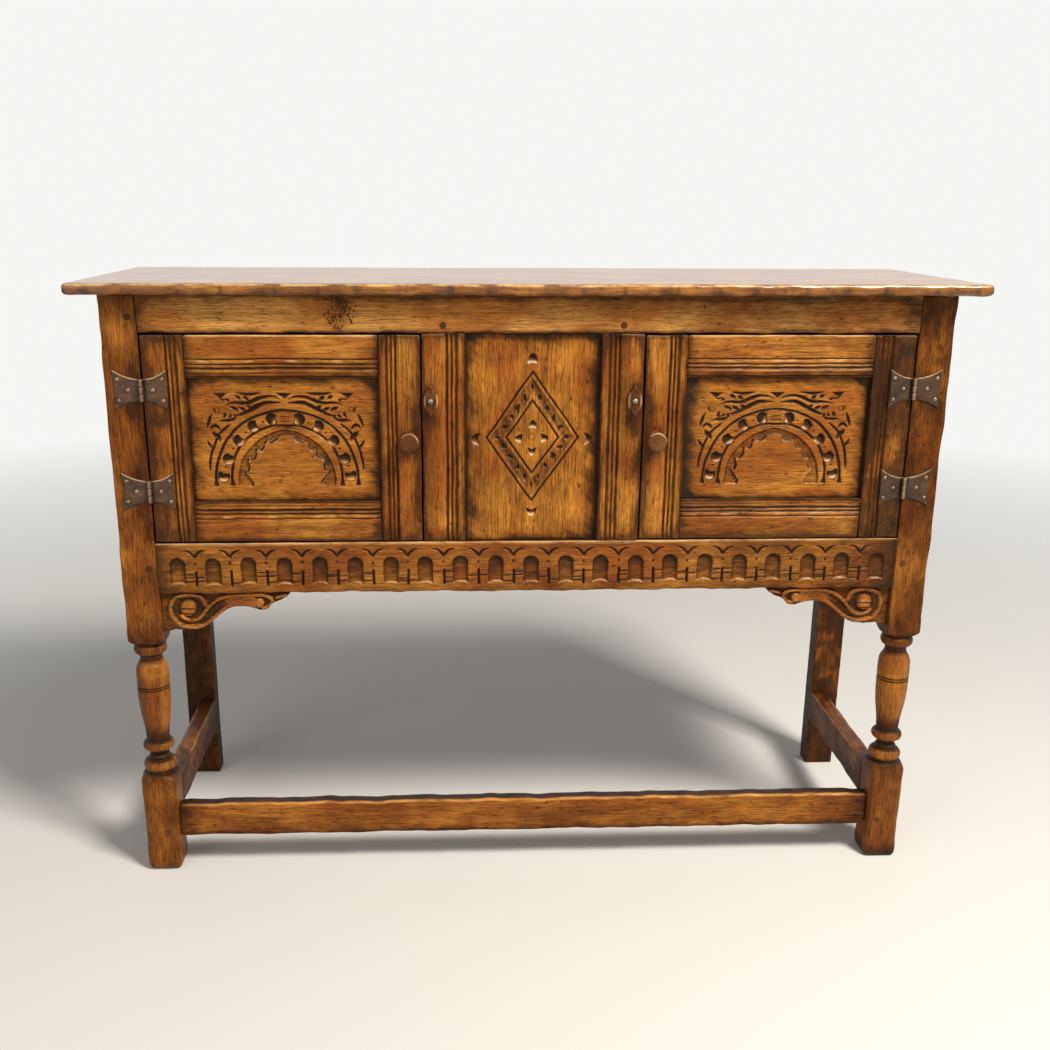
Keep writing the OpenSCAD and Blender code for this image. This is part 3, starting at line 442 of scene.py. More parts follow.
def oakFinish(name, look, fromObject=None):
    # Waxed oak: slow rings and streaks along the grain, open pores, patina and painted shade in hollows,
    # rubbed edges and painted highlights
    material, add = newMaterial(name)
    if fromObject:
        grain = add("Mapping", {0: add("TexCoord", output=3), 2: fromObject})
        wearAndHighlight = patinaAndShade = 0.0
    else:
        grain = add("Attribute", output=1, attribute_name="grain")
        wearAndHighlight = add("Attribute", output=2, attribute_name="wearAndHighlight")
        patinaAndShade = add("Attribute", output=2, attribute_name="patinaAndShade")
    bands = noise(add, grain, (5, 42, 42), 4, 0.6)
    streaks = noise(add, grain, (24, 950, 950), 4)
    dashes = noise(add, grain, (70, 1000, 1000), 2)
    specks = noise(add, grain, (90, 150, 150), 3)
    clouds = noise(add, grain, (8, 15, 15), 5, 0.6)
    broken = noise(add, grain, (55, 100, 100), 5)
    body = mixed(add, spread(add, clouds, 0.42, 0.6), look["mid"], look["light"])
    body = mixed(add, spread(add, bands, 0.32, 0.58, look["bandShare"], 0), body, look["deep"])
    body = mixed(add, spread(add, streaks, 0.37, 0.54, look["streakShare"], 0), body, look["deep"])
    pores = spread(add, dashes, 0.36, 0.45, 1, 0)
    body = mixed(add, sums(add, "MULTIPLY", pores, look["poreShare"]), body, look["dirtAndShade"])
    body = mixed(add, spread(add, specks, 0.64, 0.71, 0, 0.65), body, look["dirtAndShade"])
    # wear and painted highlights turn the wood towards its rub colour
    rubbedAndLit = sums(add, "MULTIPLY", spread(add, sums(add, "MULTIPLY_ADD", broken, 0.9, wearAndHighlight), 0.85, 1.35),
                  look["rubAndHighlightShare"])
    body = mixed(add, rubbedAndLit, body, look["rub"])
    # patina and painted shade darken it, the deepest to the dark colour
    grime = spread(add, sums(add, "ADD", patinaAndShade, sums(add, "MULTIPLY_ADD", broken, 0.7, -0.35)), 0.02, 0.95)
    darker = mixed(add, 1.0, body, (0.34, 0.29, 0.27, 1), "MULTIPLY")
    body = mixed(add, spread(add, grime, 0, 0.6), body, darker)
    body = mixed(add, spread(add, grime, 0.5, 0.95, 0, look["dirtAndShadeShare"]), body, look["dirtAndShade"])
    roughness = sums(add, "ADD", spread(add, streaks, 0.3, 0.7, look["rough"], look["rough"] + 0.1),
                     sums(add, "MULTIPLY", grime, 0.2))
    roughness = sums(add, "SUBTRACT", roughness, sums(add, "MULTIPLY", wearAndHighlight, 0.12))
    height = sums(add, "SUBTRACT", sums(add, "MULTIPLY", streaks, 0.6), sums(add, "MULTIPLY", pores, 0.7))
    settings = {"Coat Weight": look["coat"], "Coat Roughness": look["coatRough"],
                "Coat IOR": look["coatIor"], "Specular IOR Level": look["gloss"],
                "Specular Tint": look["sheenTint"]}
    finishMaterial(add, body, roughness, height, (look["bump"], 0.0006), settings)
    return material


honeyOak = {"deep": rgb(94, 47, 12), "mid": rgb(164, 90, 30), "light": rgb(200, 130, 50),
            "rub": rgb(236, 186, 122), "dirtAndShade": rgb(30, 19, 10), "bandShare": 0.45, "streakShare": 0.7,
            "poreShare": 0.55, "rubAndHighlightShare": 0.75, "dirtAndShadeShare": 0.94, "rough": 0.3, "bump": 0.5,
            "gloss": 0.24, "sheenTint": (1, 0.8, 0.55, 1), "coat": 0.0, "coatRough": 0.2, "coatIor": 1.5}
darkOak = {**honeyOak, "deep": rgb(80, 38, 10), "mid": rgb(146, 80, 26), "light": rgb(188, 116, 42),
           "rub": rgb(224, 156, 84), "gloss": 0.2, "rough": 0.24}
# its rub colour is pale grey, as it also paints the highlights on the gouge floors and scallops
panelOak = {**honeyOak, "mid": rgb(170, 96, 32), "light": rgb(202, 130, 46), "rub": rgb(218, 198, 164)}
# lighter than honey oak to cancel the shadow the top casts on this rail: painted light
shadowLiftedTopRailOak = {**honeyOak, "deep": rgb(120, 68, 26), "mid": rgb(188, 116, 48), "light": rgb(222, 160, 82)}
topOak = {**honeyOak, "deep": rgb(94, 46, 12), "mid": rgb(147, 85, 25), "light": rgb(188, 122, 44),
          "rub": rgb(226, 180, 112), "rough": 0.34, "gloss": 0.4, "bump": 0.2, "coat": 0.75,
          "coatRough": 0.16}
innerOak = {**darkOak, "deep": rgb(58, 36, 20), "mid": rgb(92, 60, 34), "light": rgb(116, 80, 48),
            "rough": 0.6}
endOak = {**darkOak, "deep": rgb(44, 26, 13), "mid": rgb(74, 44, 20), "light": rgb(102, 64, 30)}

frameOakMaterial = oakFinish("frameOak", honeyOak)
postOakMaterial = oakFinish("postOak", darkOak)
panelOakMaterial = oakFinish("panelOak", panelOak)
topRailMaterial = oakFinish("shadowLiftedTopRailOak", shadowLiftedTopRailOak)
topOakMaterial = oakFinish("topOak", topOak)
innerOakMaterial = oakFinish("innerOak", innerOak, fromObject=(0, 0, 0))
pegOakMaterial = oakFinish("pegOak", endOak, fromObject=(0, 0, 1.57))
print("oak finishes mixed")


def metalFinish(name, look):
    material, add = newMaterial(name)
    place = add("TexCoord", output=3)
    patches = noise(add, place, (60, 60, 60), 4, 0.3)
    pits = noise(add, place, (420, 420, 420), 3)
    body = mixed(add, spread(add, patches, 0.35, 0.65), look["deep"], look["mid"])
    body = mixed(add, spread(add, pits, 0.55, 0.7, 0, 0.5), body, look["rub"])
    # painted highlights on the upper rims and the knuckle fronts, then patina and painted shadow
    body = mixed(add, add("Attribute", output=2, attribute_name="wearAndHighlight"), body, look["highlight"])
    body = mixed(add, add("Attribute", output=2, attribute_name="patinaAndShade"), body, look["dirtAndShade"])
    roughness = spread(add, patches, 0.3, 0.7, look["rough"] - 0.06, look["rough"] + 0.1)
    height = sums(add, "ADD", sums(add, "MULTIPLY", patches, 0.8), sums(add, "MULTIPLY", pits, 0.3))
    finishMaterial(add, body, roughness, height, (0.5, 0.0008), {"Metallic": look["metallic"]})
    return material


hingeIron = {"deep": rgb(56, 36, 22), "mid": rgb(92, 62, 38), "rub": rgb(128, 92, 58),
             "highlight": rgb(196, 156, 108), "dirtAndShade": rgb(24, 16, 11), "rough": 0.36, "metallic": 0.16}
ironMaterial = metalFinish("hingeIron", hingeIron)
nailMaterial = metalFinish("nailIron", {**hingeIron, "deep": rgb(100, 74, 50), "mid": rgb(140, 112, 80),
                                        "rub": rgb(200, 168, 126), "rough": 0.34, "metallic": 0.5})
screwMaterial = metalFinish("screwSteel", {**hingeIron, "deep": rgb(112, 104, 92), "mid": rgb(156, 146, 132),
                                           "rub": rgb(206, 196, 182), "rough": 0.28, "metallic": 0.9})
turnedLook = {**darkOak, "deep": rgb(56, 30, 14), "mid": rgb(104, 60, 28), "light": rgb(138, 88, 46),
              "rub": rgb(226, 184, 138), "rough": 0.2, "gloss": 0.2}
turnedMaterial = oakFinish("handledWood", turnedLook)
print("metals and handled wood mixed")


# Top

topShape = {"edge": 5.5, "lowerWander": 3.6, "upperWander": 0.8, "faceWander": 1.3, "frontReach": 14}


def makeTop():
    low, high = nodeBox("top_board")
    size = high - low
    bm = latticeBoard(cuts(size[0], 5), cuts(size[1], 16, near=(0, 0.8, 1.8, 3, 4.5, 7, 12)),
                      cuts(size[2], 2, near=(0, 0.6, 1.4, 2.6, 4.2, 6)))
    rest = restOf(bm)
    u, v, w = rest.T                             # along, to the back and down from the top face
    radius = topShape["edge"]*(0.85 + 0.3*lineNoise(u, 31, (90, 47, 23)))
    points = roundArris(rest, size, np.clip(radius, 2, 7))
    nearFront = clip01(1 - v/topShape["frontReach"])
    low01 = clip01((w - 4)/(size[2] - 4))
    points[:, 2] -= topShape["lowerWander"]*noise01(u, 5, (64, 37, 19))*low01*nearFront
    points[:, 2] += topShape["upperWander"]*noise01(u, 8, (120, 60, 31))*(1 - low01)*nearFront
    points[:, 1] += topShape["faceWander"]*noise01(u, 9, (150, 70, 33))*nearFront
    placed = placeBoard(points, low, high, "up")
    placed += waver(placed, 0.35, 4, (320, 120, 50))
    moveTo(bm, np.clip(placed, low, high))
    # the upper arris is brighter than the lower: wear and painted highlight
    wearAndHighlight = nearArris(rest, size, 7)*(0.45 + 0.75*(1 - low01))
    fromEnd = np.minimum(u, size[0] - u)
    # painted shade along the lower front edge and on the underside, darker end grain at the ends, mottled
    # smudges along the front
    patinaAndShade = 0.55*low01*nearFront*noise01(u, 15, (83, 41, 17))
    patinaAndShade += 0.5*clip01(1 - fromEnd/9) + 0.7*(w > size[2] - 1)*(v > 8)
    patinaAndShade += 0.25*nearFront*clip01(lineNoise(u, 16, (140, 61, 29)))
    smudge = clip01(1.6*lineNoise(u, 18, (57, 23, 11)) - 0.35)
    patinaAndShade += 0.5*smudge*nearFront*clip01(w/3)
    wearAndHighlight *= np.clip(0.85 + 0.8*lineNoise(u, 19, (93, 37, 13)), 0.2, 1.2)
    finishPiece(bm, "top_oak_board", "top_board", topOakMaterial, grainOf(rest, "u", 2), wearAndHighlight, patinaAndShade)


makeTop()
print("top made")


# Legs

legShape = {"postCorner": 3, "footCorner": 7.5, "footTaper": 0.13, "footHeight": 15, "shaved": 2.2,
            "shavedFrom": 390, "square": 40.0}
legSections = {"block": 159, "post": 366, "fineBelow": 14, "fineAbove": 16, "fineStep": 1.15}
legFinish = {"block": 0.26, "crownHighlight": 0.42, "topCrownHighlight": 0.3, "mostGrimeAndShade": 0.54}
tones = {"left": 0.12, "right": 0.52}        # how much darker the finish has become towards each end
# plain radius of the turning at each height, then its beads as middle, height, edge and crown radius
turning = [(159, 17), (181, 12.8), (188, 12.5), (192, 15), (213, 16.3), (228, 17.4), (255, 21.4),
           (275, 22.9), (287, 23.3), (315, 23.4), (323, 22.8), (329, 20.9), (333.5, 17.9), (337, 16.4),
           (341, 15.6), (346, 16.5), (366, 20)]
beads = [(169.5, 18, 16, 23.7), (182.5, 5, 13, 15.4), (201, 15.5, 15, 22.5), (355, 16.5, 17, 23.4)]
rings = [(297, 1.2), (293, 1.2), (339, 0.8)]             # height and depth


def turnedRadius(z):
    radius = np.interp(z, *zip(*turning))
    for middle, height, edge, crown in beads:
        swell = np.sqrt(clip01(1 - ((z - middle)/(height/2))**2))
        full = np.maximum(radius, edge + (crown - edge)*swell)
        radius = np.where(np.abs(z - middle) < height/2, full, radius)
    for middle, depth in rings:
        radius = radius - depth*clip01(1 - np.abs(z - middle)/1.6)
    return radius


def legLimit(z):
    # radius that the square is cut down to: none on the post and block, the turning between them
    block, post = legSections["block"], legSections["post"]
    full = legShape["square"]
    down = 22 + 14*clip01((block - z)/13)**0.7
    up = 22 + 14*np.sqrt(clip01(1 - ((post + 15 - z)/15)**2))
    foot = 31 + 5*np.sqrt(clip01(1 - ((12 - z)/12)**2))
    return np.select([z < 12, z < block - 13, z < block, z <= post, z < post + 15],
                     [foot, full, down, turnedRadius(z), up], full)


def isTurned(z):
    return (z > legSections["block"]) & (z < legSections["post"])


def hingeShade(x, z):
    # old dirt round and below each hinge
    shade = np.zeros(len(x))
    for level in hingeLevels:
        across = (np.abs(x) - postIn)/30
        shade += 0.42*np.exp(-across**4 - ((z - level)/34)**4)
        shade += 0.55*np.exp(-(across*1.5)**2 - ((z - level + 27)/13)**2)
    return shade


def roundOrder(verts):
    return sorted(verts, key=lambda v: math.atan2(v.co.y, v.co.x) % 6.28318)


def legBlank(half, height):
    # square rings of points from foot to top, close together along the turning
    side = np.array(cuts(2*half, 4.5))[:-1] - half
    flat = half + 0*side
    corners = ((side, -flat), (flat, side), (-side, flat), (-flat, -side))
    square = np.concatenate([np.stack(pair, axis=1) for pair in corners])
    low = legSections["block"] - legSections["fineBelow"]
    high = legSections["post"] + legSections["fineAbove"]
    heights = np.concatenate([cuts(low, 9)[:-1], np.arange(low, high, legSections["fineStep"]),
                              high + np.array(cuts(height - high, 9))[1:]])
    bm = bmesh.new()
    bmesh.ops.create_circle(bm, segments=len(square), radius=1)
    loops = [roundOrder(bm.verts)]
    ringEdges = bm.edges[:]
    for z in heights[1:]:
        made = bmesh.ops.extrude_edge_only(bm, edges=ringEdges)["geom"]
        verts = vertsOf(made)
        bmesh.ops.translate(bm, vec=(0, 0, float(z) - loops[-1][0].co.z), verts=verts)
        loops.append(roundOrder(verts))
        ringEdges = openEdgesOf(made)
    for loop in (loops[0], loops[-1]):
        bmesh.ops.contextual_create(bm, geom=loop)
    bm.verts.index_update()
    place = np.zeros((len(bm.verts), 3))
    for z, loop in zip(heights, loops):
        for (x, y), vert in zip(square, loop):
            place[vert.index] = (x, y, z)
    return bm, place + np.array([half, half, 0])


def legPatinaAndShade(z, limit, away, tone):
    # dark between the beads, in the rings, at the joints and on the outer side of the turning: partly
    # patina, partly painted shade
    block, post = legSections["block"], legSections["post"]
    turned = isTurned(z)
    patinaAndShade = np.where(turned, np.clip((19 - limit)/6, 0, 0.95), tone*np.interp(z, (400, 560), (0.8, 1)))
    patinaAndShade += np.interp(z, (480, 560), (-0.1, 0.02))*(z > post)
    patinaAndShade = np.where(z < block, legFinish["block"], patinaAndShade)
    for middle, height, edge, crown in beads:
        patinaAndShade = np.maximum(patinaAndShade, turned*0.8*hump(np.abs(z - middle) - height/2, 1, 2.4))
    patinaAndShade += turned*(0.35*hump(z, 212, 16) + 0.4*hump(z, 355, 9))
    for middle, depth in rings:
        patinaAndShade = np.maximum(patinaAndShade, 0.9*clip01(1.3 - np.abs(z - middle)/1.4))
    for level in (block, post):
        patinaAndShade = np.maximum(patinaAndShade, 0.85*clip01(1 - np.abs(z - level)/3))
    patinaAndShade = np.maximum(patinaAndShade, (0.4 + tone)*clip01(1 - z/40))
    patinaAndShade += 0.35*np.exp(-(block - z)/16)*(z < block)
    return patinaAndShade + turned*0.45*clip01(away - 0.3)


def legWearAndHighlight(rest, box, seed):
    # bright along the arrises, with painted highlights on the crowns of the beads and on the shoulder of the
    # vase
    z = rest[:, 2]
    turned = isTurned(z)
    wearAndHighlight = nearArris(rest, box)*np.where(z < legSections["block"], 0.3, 0.5)
    wearAndHighlight = np.where(turned, 0, wearAndHighlight)
    for middle, height, edge, crown in beads:
        onCrown = turned & (np.abs(z - middle - 1) < height*0.22)
        wearAndHighlight = np.where(onCrown, legFinish["topCrownHighlight" if middle > 300 else "crownHighlight"], wearAndHighlight)
    shoulder = hump(z, 316, 10)*(0.42 + 0.1*slowNoise(rest, seed + 13, (60, 31, 17)))
    return np.maximum(wearAndHighlight, turned*np.maximum(shoulder, 0.3*hump(z, 276, 22)))


def makeFrontLeg(side, way, seed):
    node = "front_leg_" + side
    low, high = nodeBox(node)
    half = (high[0] - low[0])/2
    centre = (low + high)/2
    post = legSections["post"]
    bm, rest = legBlank(half, high[2])
    x, y, z = rest.T
    box = np.array([2*half, 2*half, high[2]])
    corner = np.where(z < legSections["block"], legShape["footCorner"], legShape["postCorner"])
    points = roundArris(rest, box, corner*(1 + 0.4*lineNoise(z, seed)))
    points[:, :2] -= half
    radius = np.hypot(points[:, 0], points[:, 1])
    limit = legLimit(z)
    points[:, :2] *= np.minimum(1, limit/np.maximum(radius, 1e-6))[:, None]
    low01 = clip01(1 - z/legShape["footHeight"])
    points[:, :2] *= (1 - legShape["footTaper"]*(1 - np.sqrt(1 - low01**2)))[:, None]
    inner = -way*half
    shaved = legShape["shaved"]*noise01(z, seed + 9, (210, 92, 51))*(z > legShape["shavedFrom"])
    points[:, 0] = inner + (points[:, 0] - inner)*(1 - shaved/(2*half))
    wearAndHighlight = legWearAndHighlight(rest, box, seed)
    patinaAndShade = legPatinaAndShade(z, limit, (x - half)/half*way, tones[side])
    inward = clip01(1 - (2*half - x if way < 0 else x)/16)*(z > sill)
    patinaAndShade += 0.4*inward + 0.3*np.exp(-(high[2] - z)/30)
    patinaAndShade += 0.4*np.exp(-np.abs(z - 372)/12)*(z > post)
    patinaAndShade += hingeShade(x + low[0], z)*(y < 20)
    patinaAndShade += 0.3*slowNoise(rest, seed + 5, (210, 90, 40))*(z > post)
    most = legFinish["mostGrimeAndShade"] + 0.1*slowNoise(rest, seed + 6)
    patinaAndShade = np.where(z > post + 4, np.minimum(patinaAndShade, most), patinaAndShade)
    points += [centre[0], centre[1], 0]
    points += waver(points, 0.6, seed)*np.where(isTurned(z), 0.5, 1)[:, None]
    moveTo(bm, np.clip(points, low, high))
    finishPiece(bm, node + "_oak", node, postOakMaterial, grainOf(rest, "w", seed), wearAndHighlight, patinaAndShade)


for side, way in outward.items():
    makeFrontLeg(side, way, 40 + (way > 0))
# the back legs are darkened all over as painted shade
for side, way in outward.items():
    makeBoard("back_leg_" + side, *nodeBox("back_leg_" + side), postOakMaterial, along="v", step=14,
              arris=2.2, wobble=0.6, grime=(0.68, 0, 0, 20, 60), seed=50 + (way > 0))
print("legs made")


# Run mouldings on stiles, rails and muntins: distance from the panel's edge and depth below the face

uprightProfile = [(0, 3.4), (0.9, 1.6), (3, 0.7), (8.3, 0.6), (9.8, 1.3), (10.9, 3.4), (12.6, 3.5),
                  (14.4, 1.7), (15.6, 1.3), (17, 2.2), (18, 3.5), (19.2, 2.8), (20.4, 0.9), (21.5, 0.7),
                  (22.6, 1.6), (23.4, 3.6), (25.2, 3.7), (26.6, 0.5), (27.6, 0)]
railProfile = [(0, 4.2), (1, 3.4), (7.4, 1.7), (8.8, 1.0), (10, 1.5), (12.4, 3.1), (13, 3.5), (13.8, 2.1),
               (15.4, 1.1), (17, 2.0), (18, 3.5), (19, 1.8), (20.8, 0.7), (22.4, 0.6), (23.8, 1.3),
               (25, 3.3), (26.2, 0.5), (27.2, 0)]
mouldings = {"stile": (uprightProfile, 1.0), "latch": (uprightProfile, 0.97), "rail": (railProfile, 1.0),
             "muntin": (uprightProfile, 1.04)}


def mouldRelief(distance, kind, along, seed):
    # depth, patina and wear of a run moulding, whose lines wander a little along it
    profile, stretch = mouldings[kind]
    wander = 0.35*lineNoise(along, seed + 41, (160, 57, 23))
    away, level = zip(*profile)
    place = np.maximum(distance/stretch + wander*(distance > 3), 0)
    depth = np.interp(place, away, level)*(1 + 0.12*lineNoise(along, seed + 43, (90, 31, 13)))
    patinaAndShade = clip01((depth - 1.3)/1.3)*(place > 5)*(1.0 if kind == "rail" else 0.7)
    wornAndLit = clip01(0.6 + 0.5*lineNoise(along, seed + 45, (70, 33, 12)))
    # the ridge crests get lines of wear and painted highlight
    wearAndHighlight = np.where((place > 7.5) & (place < 26) & (depth < 1.1), (0.7 if kind == "rail" else 0.3)*wornAndLit, 0)
    wearAndHighlight = np.maximum(wearAndHighlight, np.where((place > 1) & (place < 7.5), 0.25*wornAndLit, 0))
    return depth, patinaAndShade, wearAndHighlight


def moulded(node, low, high, kind, panelSide, seed, stains=(), grime=noGrime):
    # panelSide is "low" or "high", the edge of the piece that holds its panel
    rail = kind == "rail"
    width = high[2] - low[2] if rail else high[0] - low[0]
    edge, way = (width, -1) if panelSide == "high" else (0, 1)
    lines = edge + way*np.arange(0, 28, 0.8)

    def relief(u, v):
        across, along = (v, u) if rail else (u, v)
        return mouldRelief(edge + way*across, kind, along, seed)
    if rail:
        makeBoard(node, low, high, frameOakMaterial, along="u", step=7, arris=2.0, wobble=0.4, relief=relief,
                  extraV=lines, stains=stains, grime=grime, seed=seed)
    else:
        makeBoard(node, low, high, frameOakMaterial, along="v", step=7, arris=2.2, wobble=0.5, relief=relief,
                  extraU=lines, stains=stains, grime=grime, seed=seed)


for side, way in outward.items():
    low, high = nodeBox("muntin_" + side)
    low[2], high[2] = sill, openTop
    moulded("muntin_" + side, low, high, "muntin", "high" if way < 0 else "low", 60 + (way > 0),
            grime=(-0.02 + 0.14*(way > 0), 4, 4, 10, 10),
            # the strongest stain, below the turn button, is partly painted shadow of the button
            stains=[(way*140, 692, 15, 20, 0.65), (way*139, 735, 15, 16, 0.35),
                    (way*138, 640, 14, 50, 0.15)])
print("muntins made")


# Rail under the top

low, high = nodeBox("front_top_rail")
low[0], high[0] = -postIn, postIn
knots = [  # stains by place, spread along and up, and strength
    (-257, 846, 15, 12, 0.4), (-260, 828, 14, 14, 0.35), (-500, 850, 40, 12, 0.3), (-90, 856, 120, 5, 0.3),
    (300, 856, 200, 6, 0.5), (370, 832, 190, 40, 0.34), (512, 830, 12, 30, 0.3)]
pits = [  # clusters of small holes by place, spread and number
    (-255, 850, 15, 9, 30), (-252, 839, 9, 11, 18), (-268, 830, 12, 10, 26), (-258, 819, 10, 7, 14),
    (-248, 828, 8, 10, 12), (226, 842, 5, 5, 8)]


def knotRelief(u, v):
    # small torn pits in the knots
    chance = np.random.default_rng(3)
    torn = np.zeros(len(u))
    for x, z, spreadX, spreadZ, number in pits:
        for spot in range(number):
            offX, offZ = chance.normal(0, spreadX/2), chance.normal(0, spreadZ/2)
            wide, tall = chance.uniform(0.8, 1.8), chance.uniform(0.9, 2.8)
            away = np.hypot((u - postIn - x - offX)/wide, (v + openTop - z - offZ)/tall)
            torn = np.maximum(torn, clip01(1.5*(1 - away)))
    return 1.6*torn, torn, 0*torn


knotLines = [x + postIn + np.arange(-12, 13, 1.2) for x, z, spreadX, spreadZ, number in pits]
# its darkening along the top edge is painted shadow of the top
makeBoard("front_top_rail", low, high, topRailMaterial, arris=1.8, waves=(1.6, 0), stains=knots,
          relief=knotRelief, extraU=np.concatenate(knotLines), extraV=np.arange(8, 44, 1.4),
          grime=(0.0, 6, 8, 2, 5), seed=70)
print("top rail made")


# Carved rail under the doors

archRail = {"niches": 21, "niche": 22.8, "foot": 11, "head": 53.6, "depth": 5.8, "end": 28, "ledge": 4.6,
            "wing": [(0, 53.6), (2, 57), (4.8, 60.6), (9, 63.4), (15.4, 65)], "wingHalf": 1.9,
            "cut": 3.2, "slot": (10, 34.5), "slotHalf": 1.9, "nick": 45, "marks": (16, 6.5),
            "markReach": 13.4}


def betweenNiches(u, v, pitch, jitter):
    # depth of a pair of wings, a nick, a slot and a few saw marks
    gap = np.clip(np.floor((u - archRail["end"])/pitch), 0, archRail["niches"] - 2).astype(int)
    c = u - archRail["end"] - (gap + 0.5)*pitch - 0.5*jitter[gap, 2]
    wing = np.abs(c)
    away, share = pathDistance(wing, v, smoothPath(archRail["wing"], 4))
    half = archRail["wingHalf"]*np.sin(math.pi*clip01(0.3 + 0.7*share))**0.7 + 0.25
    wings = archRail["cut"]*clip01(1.3*(1 - away/half))
    foot, head = archRail["slot"]
    slot = archRail["cut"]*edgeRise(archRail["slotHalf"] - np.abs(c - 1.0), 0.8)*edgeRise(v - foot, 1)
    slot = slot*edgeRise(head - v + jitter[gap, 3], 1)
    nick = 1.8*clip01(1.2 - np.hypot(c, (v - archRail["nick"] - jitter[gap, 4])*0.8)/2.2)
    marks = np.zeros(len(u))
    lowest, rise = archRail["marks"]
    for number in range(3):
        level = lowest + rise*number + 3*jitter[gap, number]
        side = np.where(jitter[gap, 3 + number] > 0, 1, -1)
        sawn = ((side*c > 0) | (jitter[gap, number] > 0.5)) & (jitter[gap, number] > -0.55)
        sawn = sawn & (wing < archRail["markReach"])
        marks = np.maximum(marks, 1.9*sawn*clip01(1.25*(1 - np.abs(v - level - 0.04*c)/1.4)))
    return np.maximum.reduce([wings, slot, nick, marks])


def archRelief(u, v):
    half = archRail["niche"]/2
    pitch = (2*postIn - 2*archRail["end"])/(archRail["niches"] - 1)
    index = np.clip(np.round((u - archRail["end"])/pitch), 0, archRail["niches"] - 1)
    jitter = np.random.default_rng(5).uniform(-1, 1, (archRail["niches"] + 1, 6))
    u = u + 0.35*lineNoise(v*3 + u, 77)
    a = u - archRail["end"] - index*pitch - 0.8*jitter[index.astype(int), 0]
    b = v - archRail["foot"] - 0.7*jitter[index.astype(int), 1]
    head = archRail["head"] - archRail["foot"] - half
    inside = np.minimum(half - np.abs(a), np.where(b > head, half - np.hypot(a, b - head), 99))
    above = b - archRail["ledge"]*np.sqrt(clip01(1 - (a/(half*1.04))**2))
    slope = clip01(above/(archRail["head"] - archRail["foot"]))
    wall = edgeRise(np.minimum(inside, above), 0.9)
    bowl = 1 - 0.3*(a/half)**2
    depth = archRail["depth"]*wall*(0.62 + 0.38*slope)*bowl
    plain = 0.22 + 0.12*lineNoise(u, 79, (310, 130, 57)) + 0.5*np.exp(-np.minimum(u, 2*postIn - u)/16)
    plain = np.maximum(plain, 0) + 0.3*np.exp(-v/4) + 0.24*clip01((u - 740)/240)
    # painted shade in each niche, darker towards its arched top and its sides
    patinaAndShade = np.maximum(wall*(0.46 + 0.5*slope**2 + 0.4*clip01(np.abs(a)/half)**4), plain)
    # painted highlight on the lip at each niche's foot and along the rail's top edge
    wearAndHighlight = np.where((above < 0) & (above > -1.5) & (inside > 0), 0.68, 0)
    cut = betweenNiches(u, v, pitch, jitter)
    patinaAndShade = np.maximum(patinaAndShade, clip01(cut/1.5)*0.97)
    wearAndHighlight = np.maximum(wearAndHighlight, clip01(1 - np.abs(v - 72)/4)*0.6)
    return np.maximum(depth, cut), clip01(patinaAndShade), wearAndHighlight


low, high = nodeBox("front_carved_rail")
low[0], high[0] = -postIn, postIn
makeBoard("front_carved_rail", low, high, frameOakMaterial, arris=1.7, wobble=0.4, relief=archRelief,
          dense=1.12, waves=(2.4, 0.6), seed=80)
print("carved rail made")


# Centre panel: two lozenges with a nicked channel between them, and thumbnail gouges

lozenge = {"half": (63.5, 90.5), "inner": (36, 51), "channel": (0.785, 0.125), "beads": 5, "bead": 3.5,
           "line": 1.7, "cut": 2.4, "hollow": 2.6, "gouge": 4.4}
thumbs = [  # place, turn, width, height and how far the foot curves in
    (0, 101, 0, 14.6, 14.6, 1.2), (0, -100, 180, 14.6, 13.2, 3.6), (-71, -2.4, 90, 16.9, 13.4, 4.4),
    (71, -2.4, -90, 16.4, 12, 4), (0, 11.8, 0, 11.2, 11.6, 1), (0, -14.6, 180, 10.8, 12, 2.4),
    (-12.6, -1.8, 90, 11.2, 11.4, 1.6), (11, -1.8, -90, 11.2, 11.4, 1.6)]


def panelEdgeDark(u, v, width, height, seed, cloudy):
    # painted shade in the corners and along the edges of a panel, next to its frame, with cloudy patches
    wander = 7*lineNoise(u + v*1.3, seed, (90, 41, 17))
    left, right = clip01(1 - (u + wander)/26), clip01(1 - (width - u + wander)/27)
    top, bottom = clip01(1 - (height - v + wander)/18), clip01(1 - (v + wander)/16)
    rim = np.minimum.reduce([u, width - u, v, height - v]) - inset
    cloud = cloudy + 0.14*slowNoise(np.stack([u, v, v], axis=1), seed + 2, (170, 71, 37))
    edges = np.clip(0.7*left**1.3 + 0.85*right**1.2 + 0.6*top + 0.5*bottom, 0, 0.8)
    return np.maximum(edges, 0) + np.maximum(cloud, 0) + 0.4*clip01(1 - rim/2.2)


def lozengeLine(a, b, half):
    # how far out a point is, 1 on the line, with the line's own cut and the millimetres in one step
    out = np.abs(a)/half[0] + np.abs(b)/half[1]
    steep = 1/math.hypot(1/half[0], 1/half[1])
    return out, steep, clip01(1.5*(1 - np.abs(out - 1)*steep/lozenge["line"]))


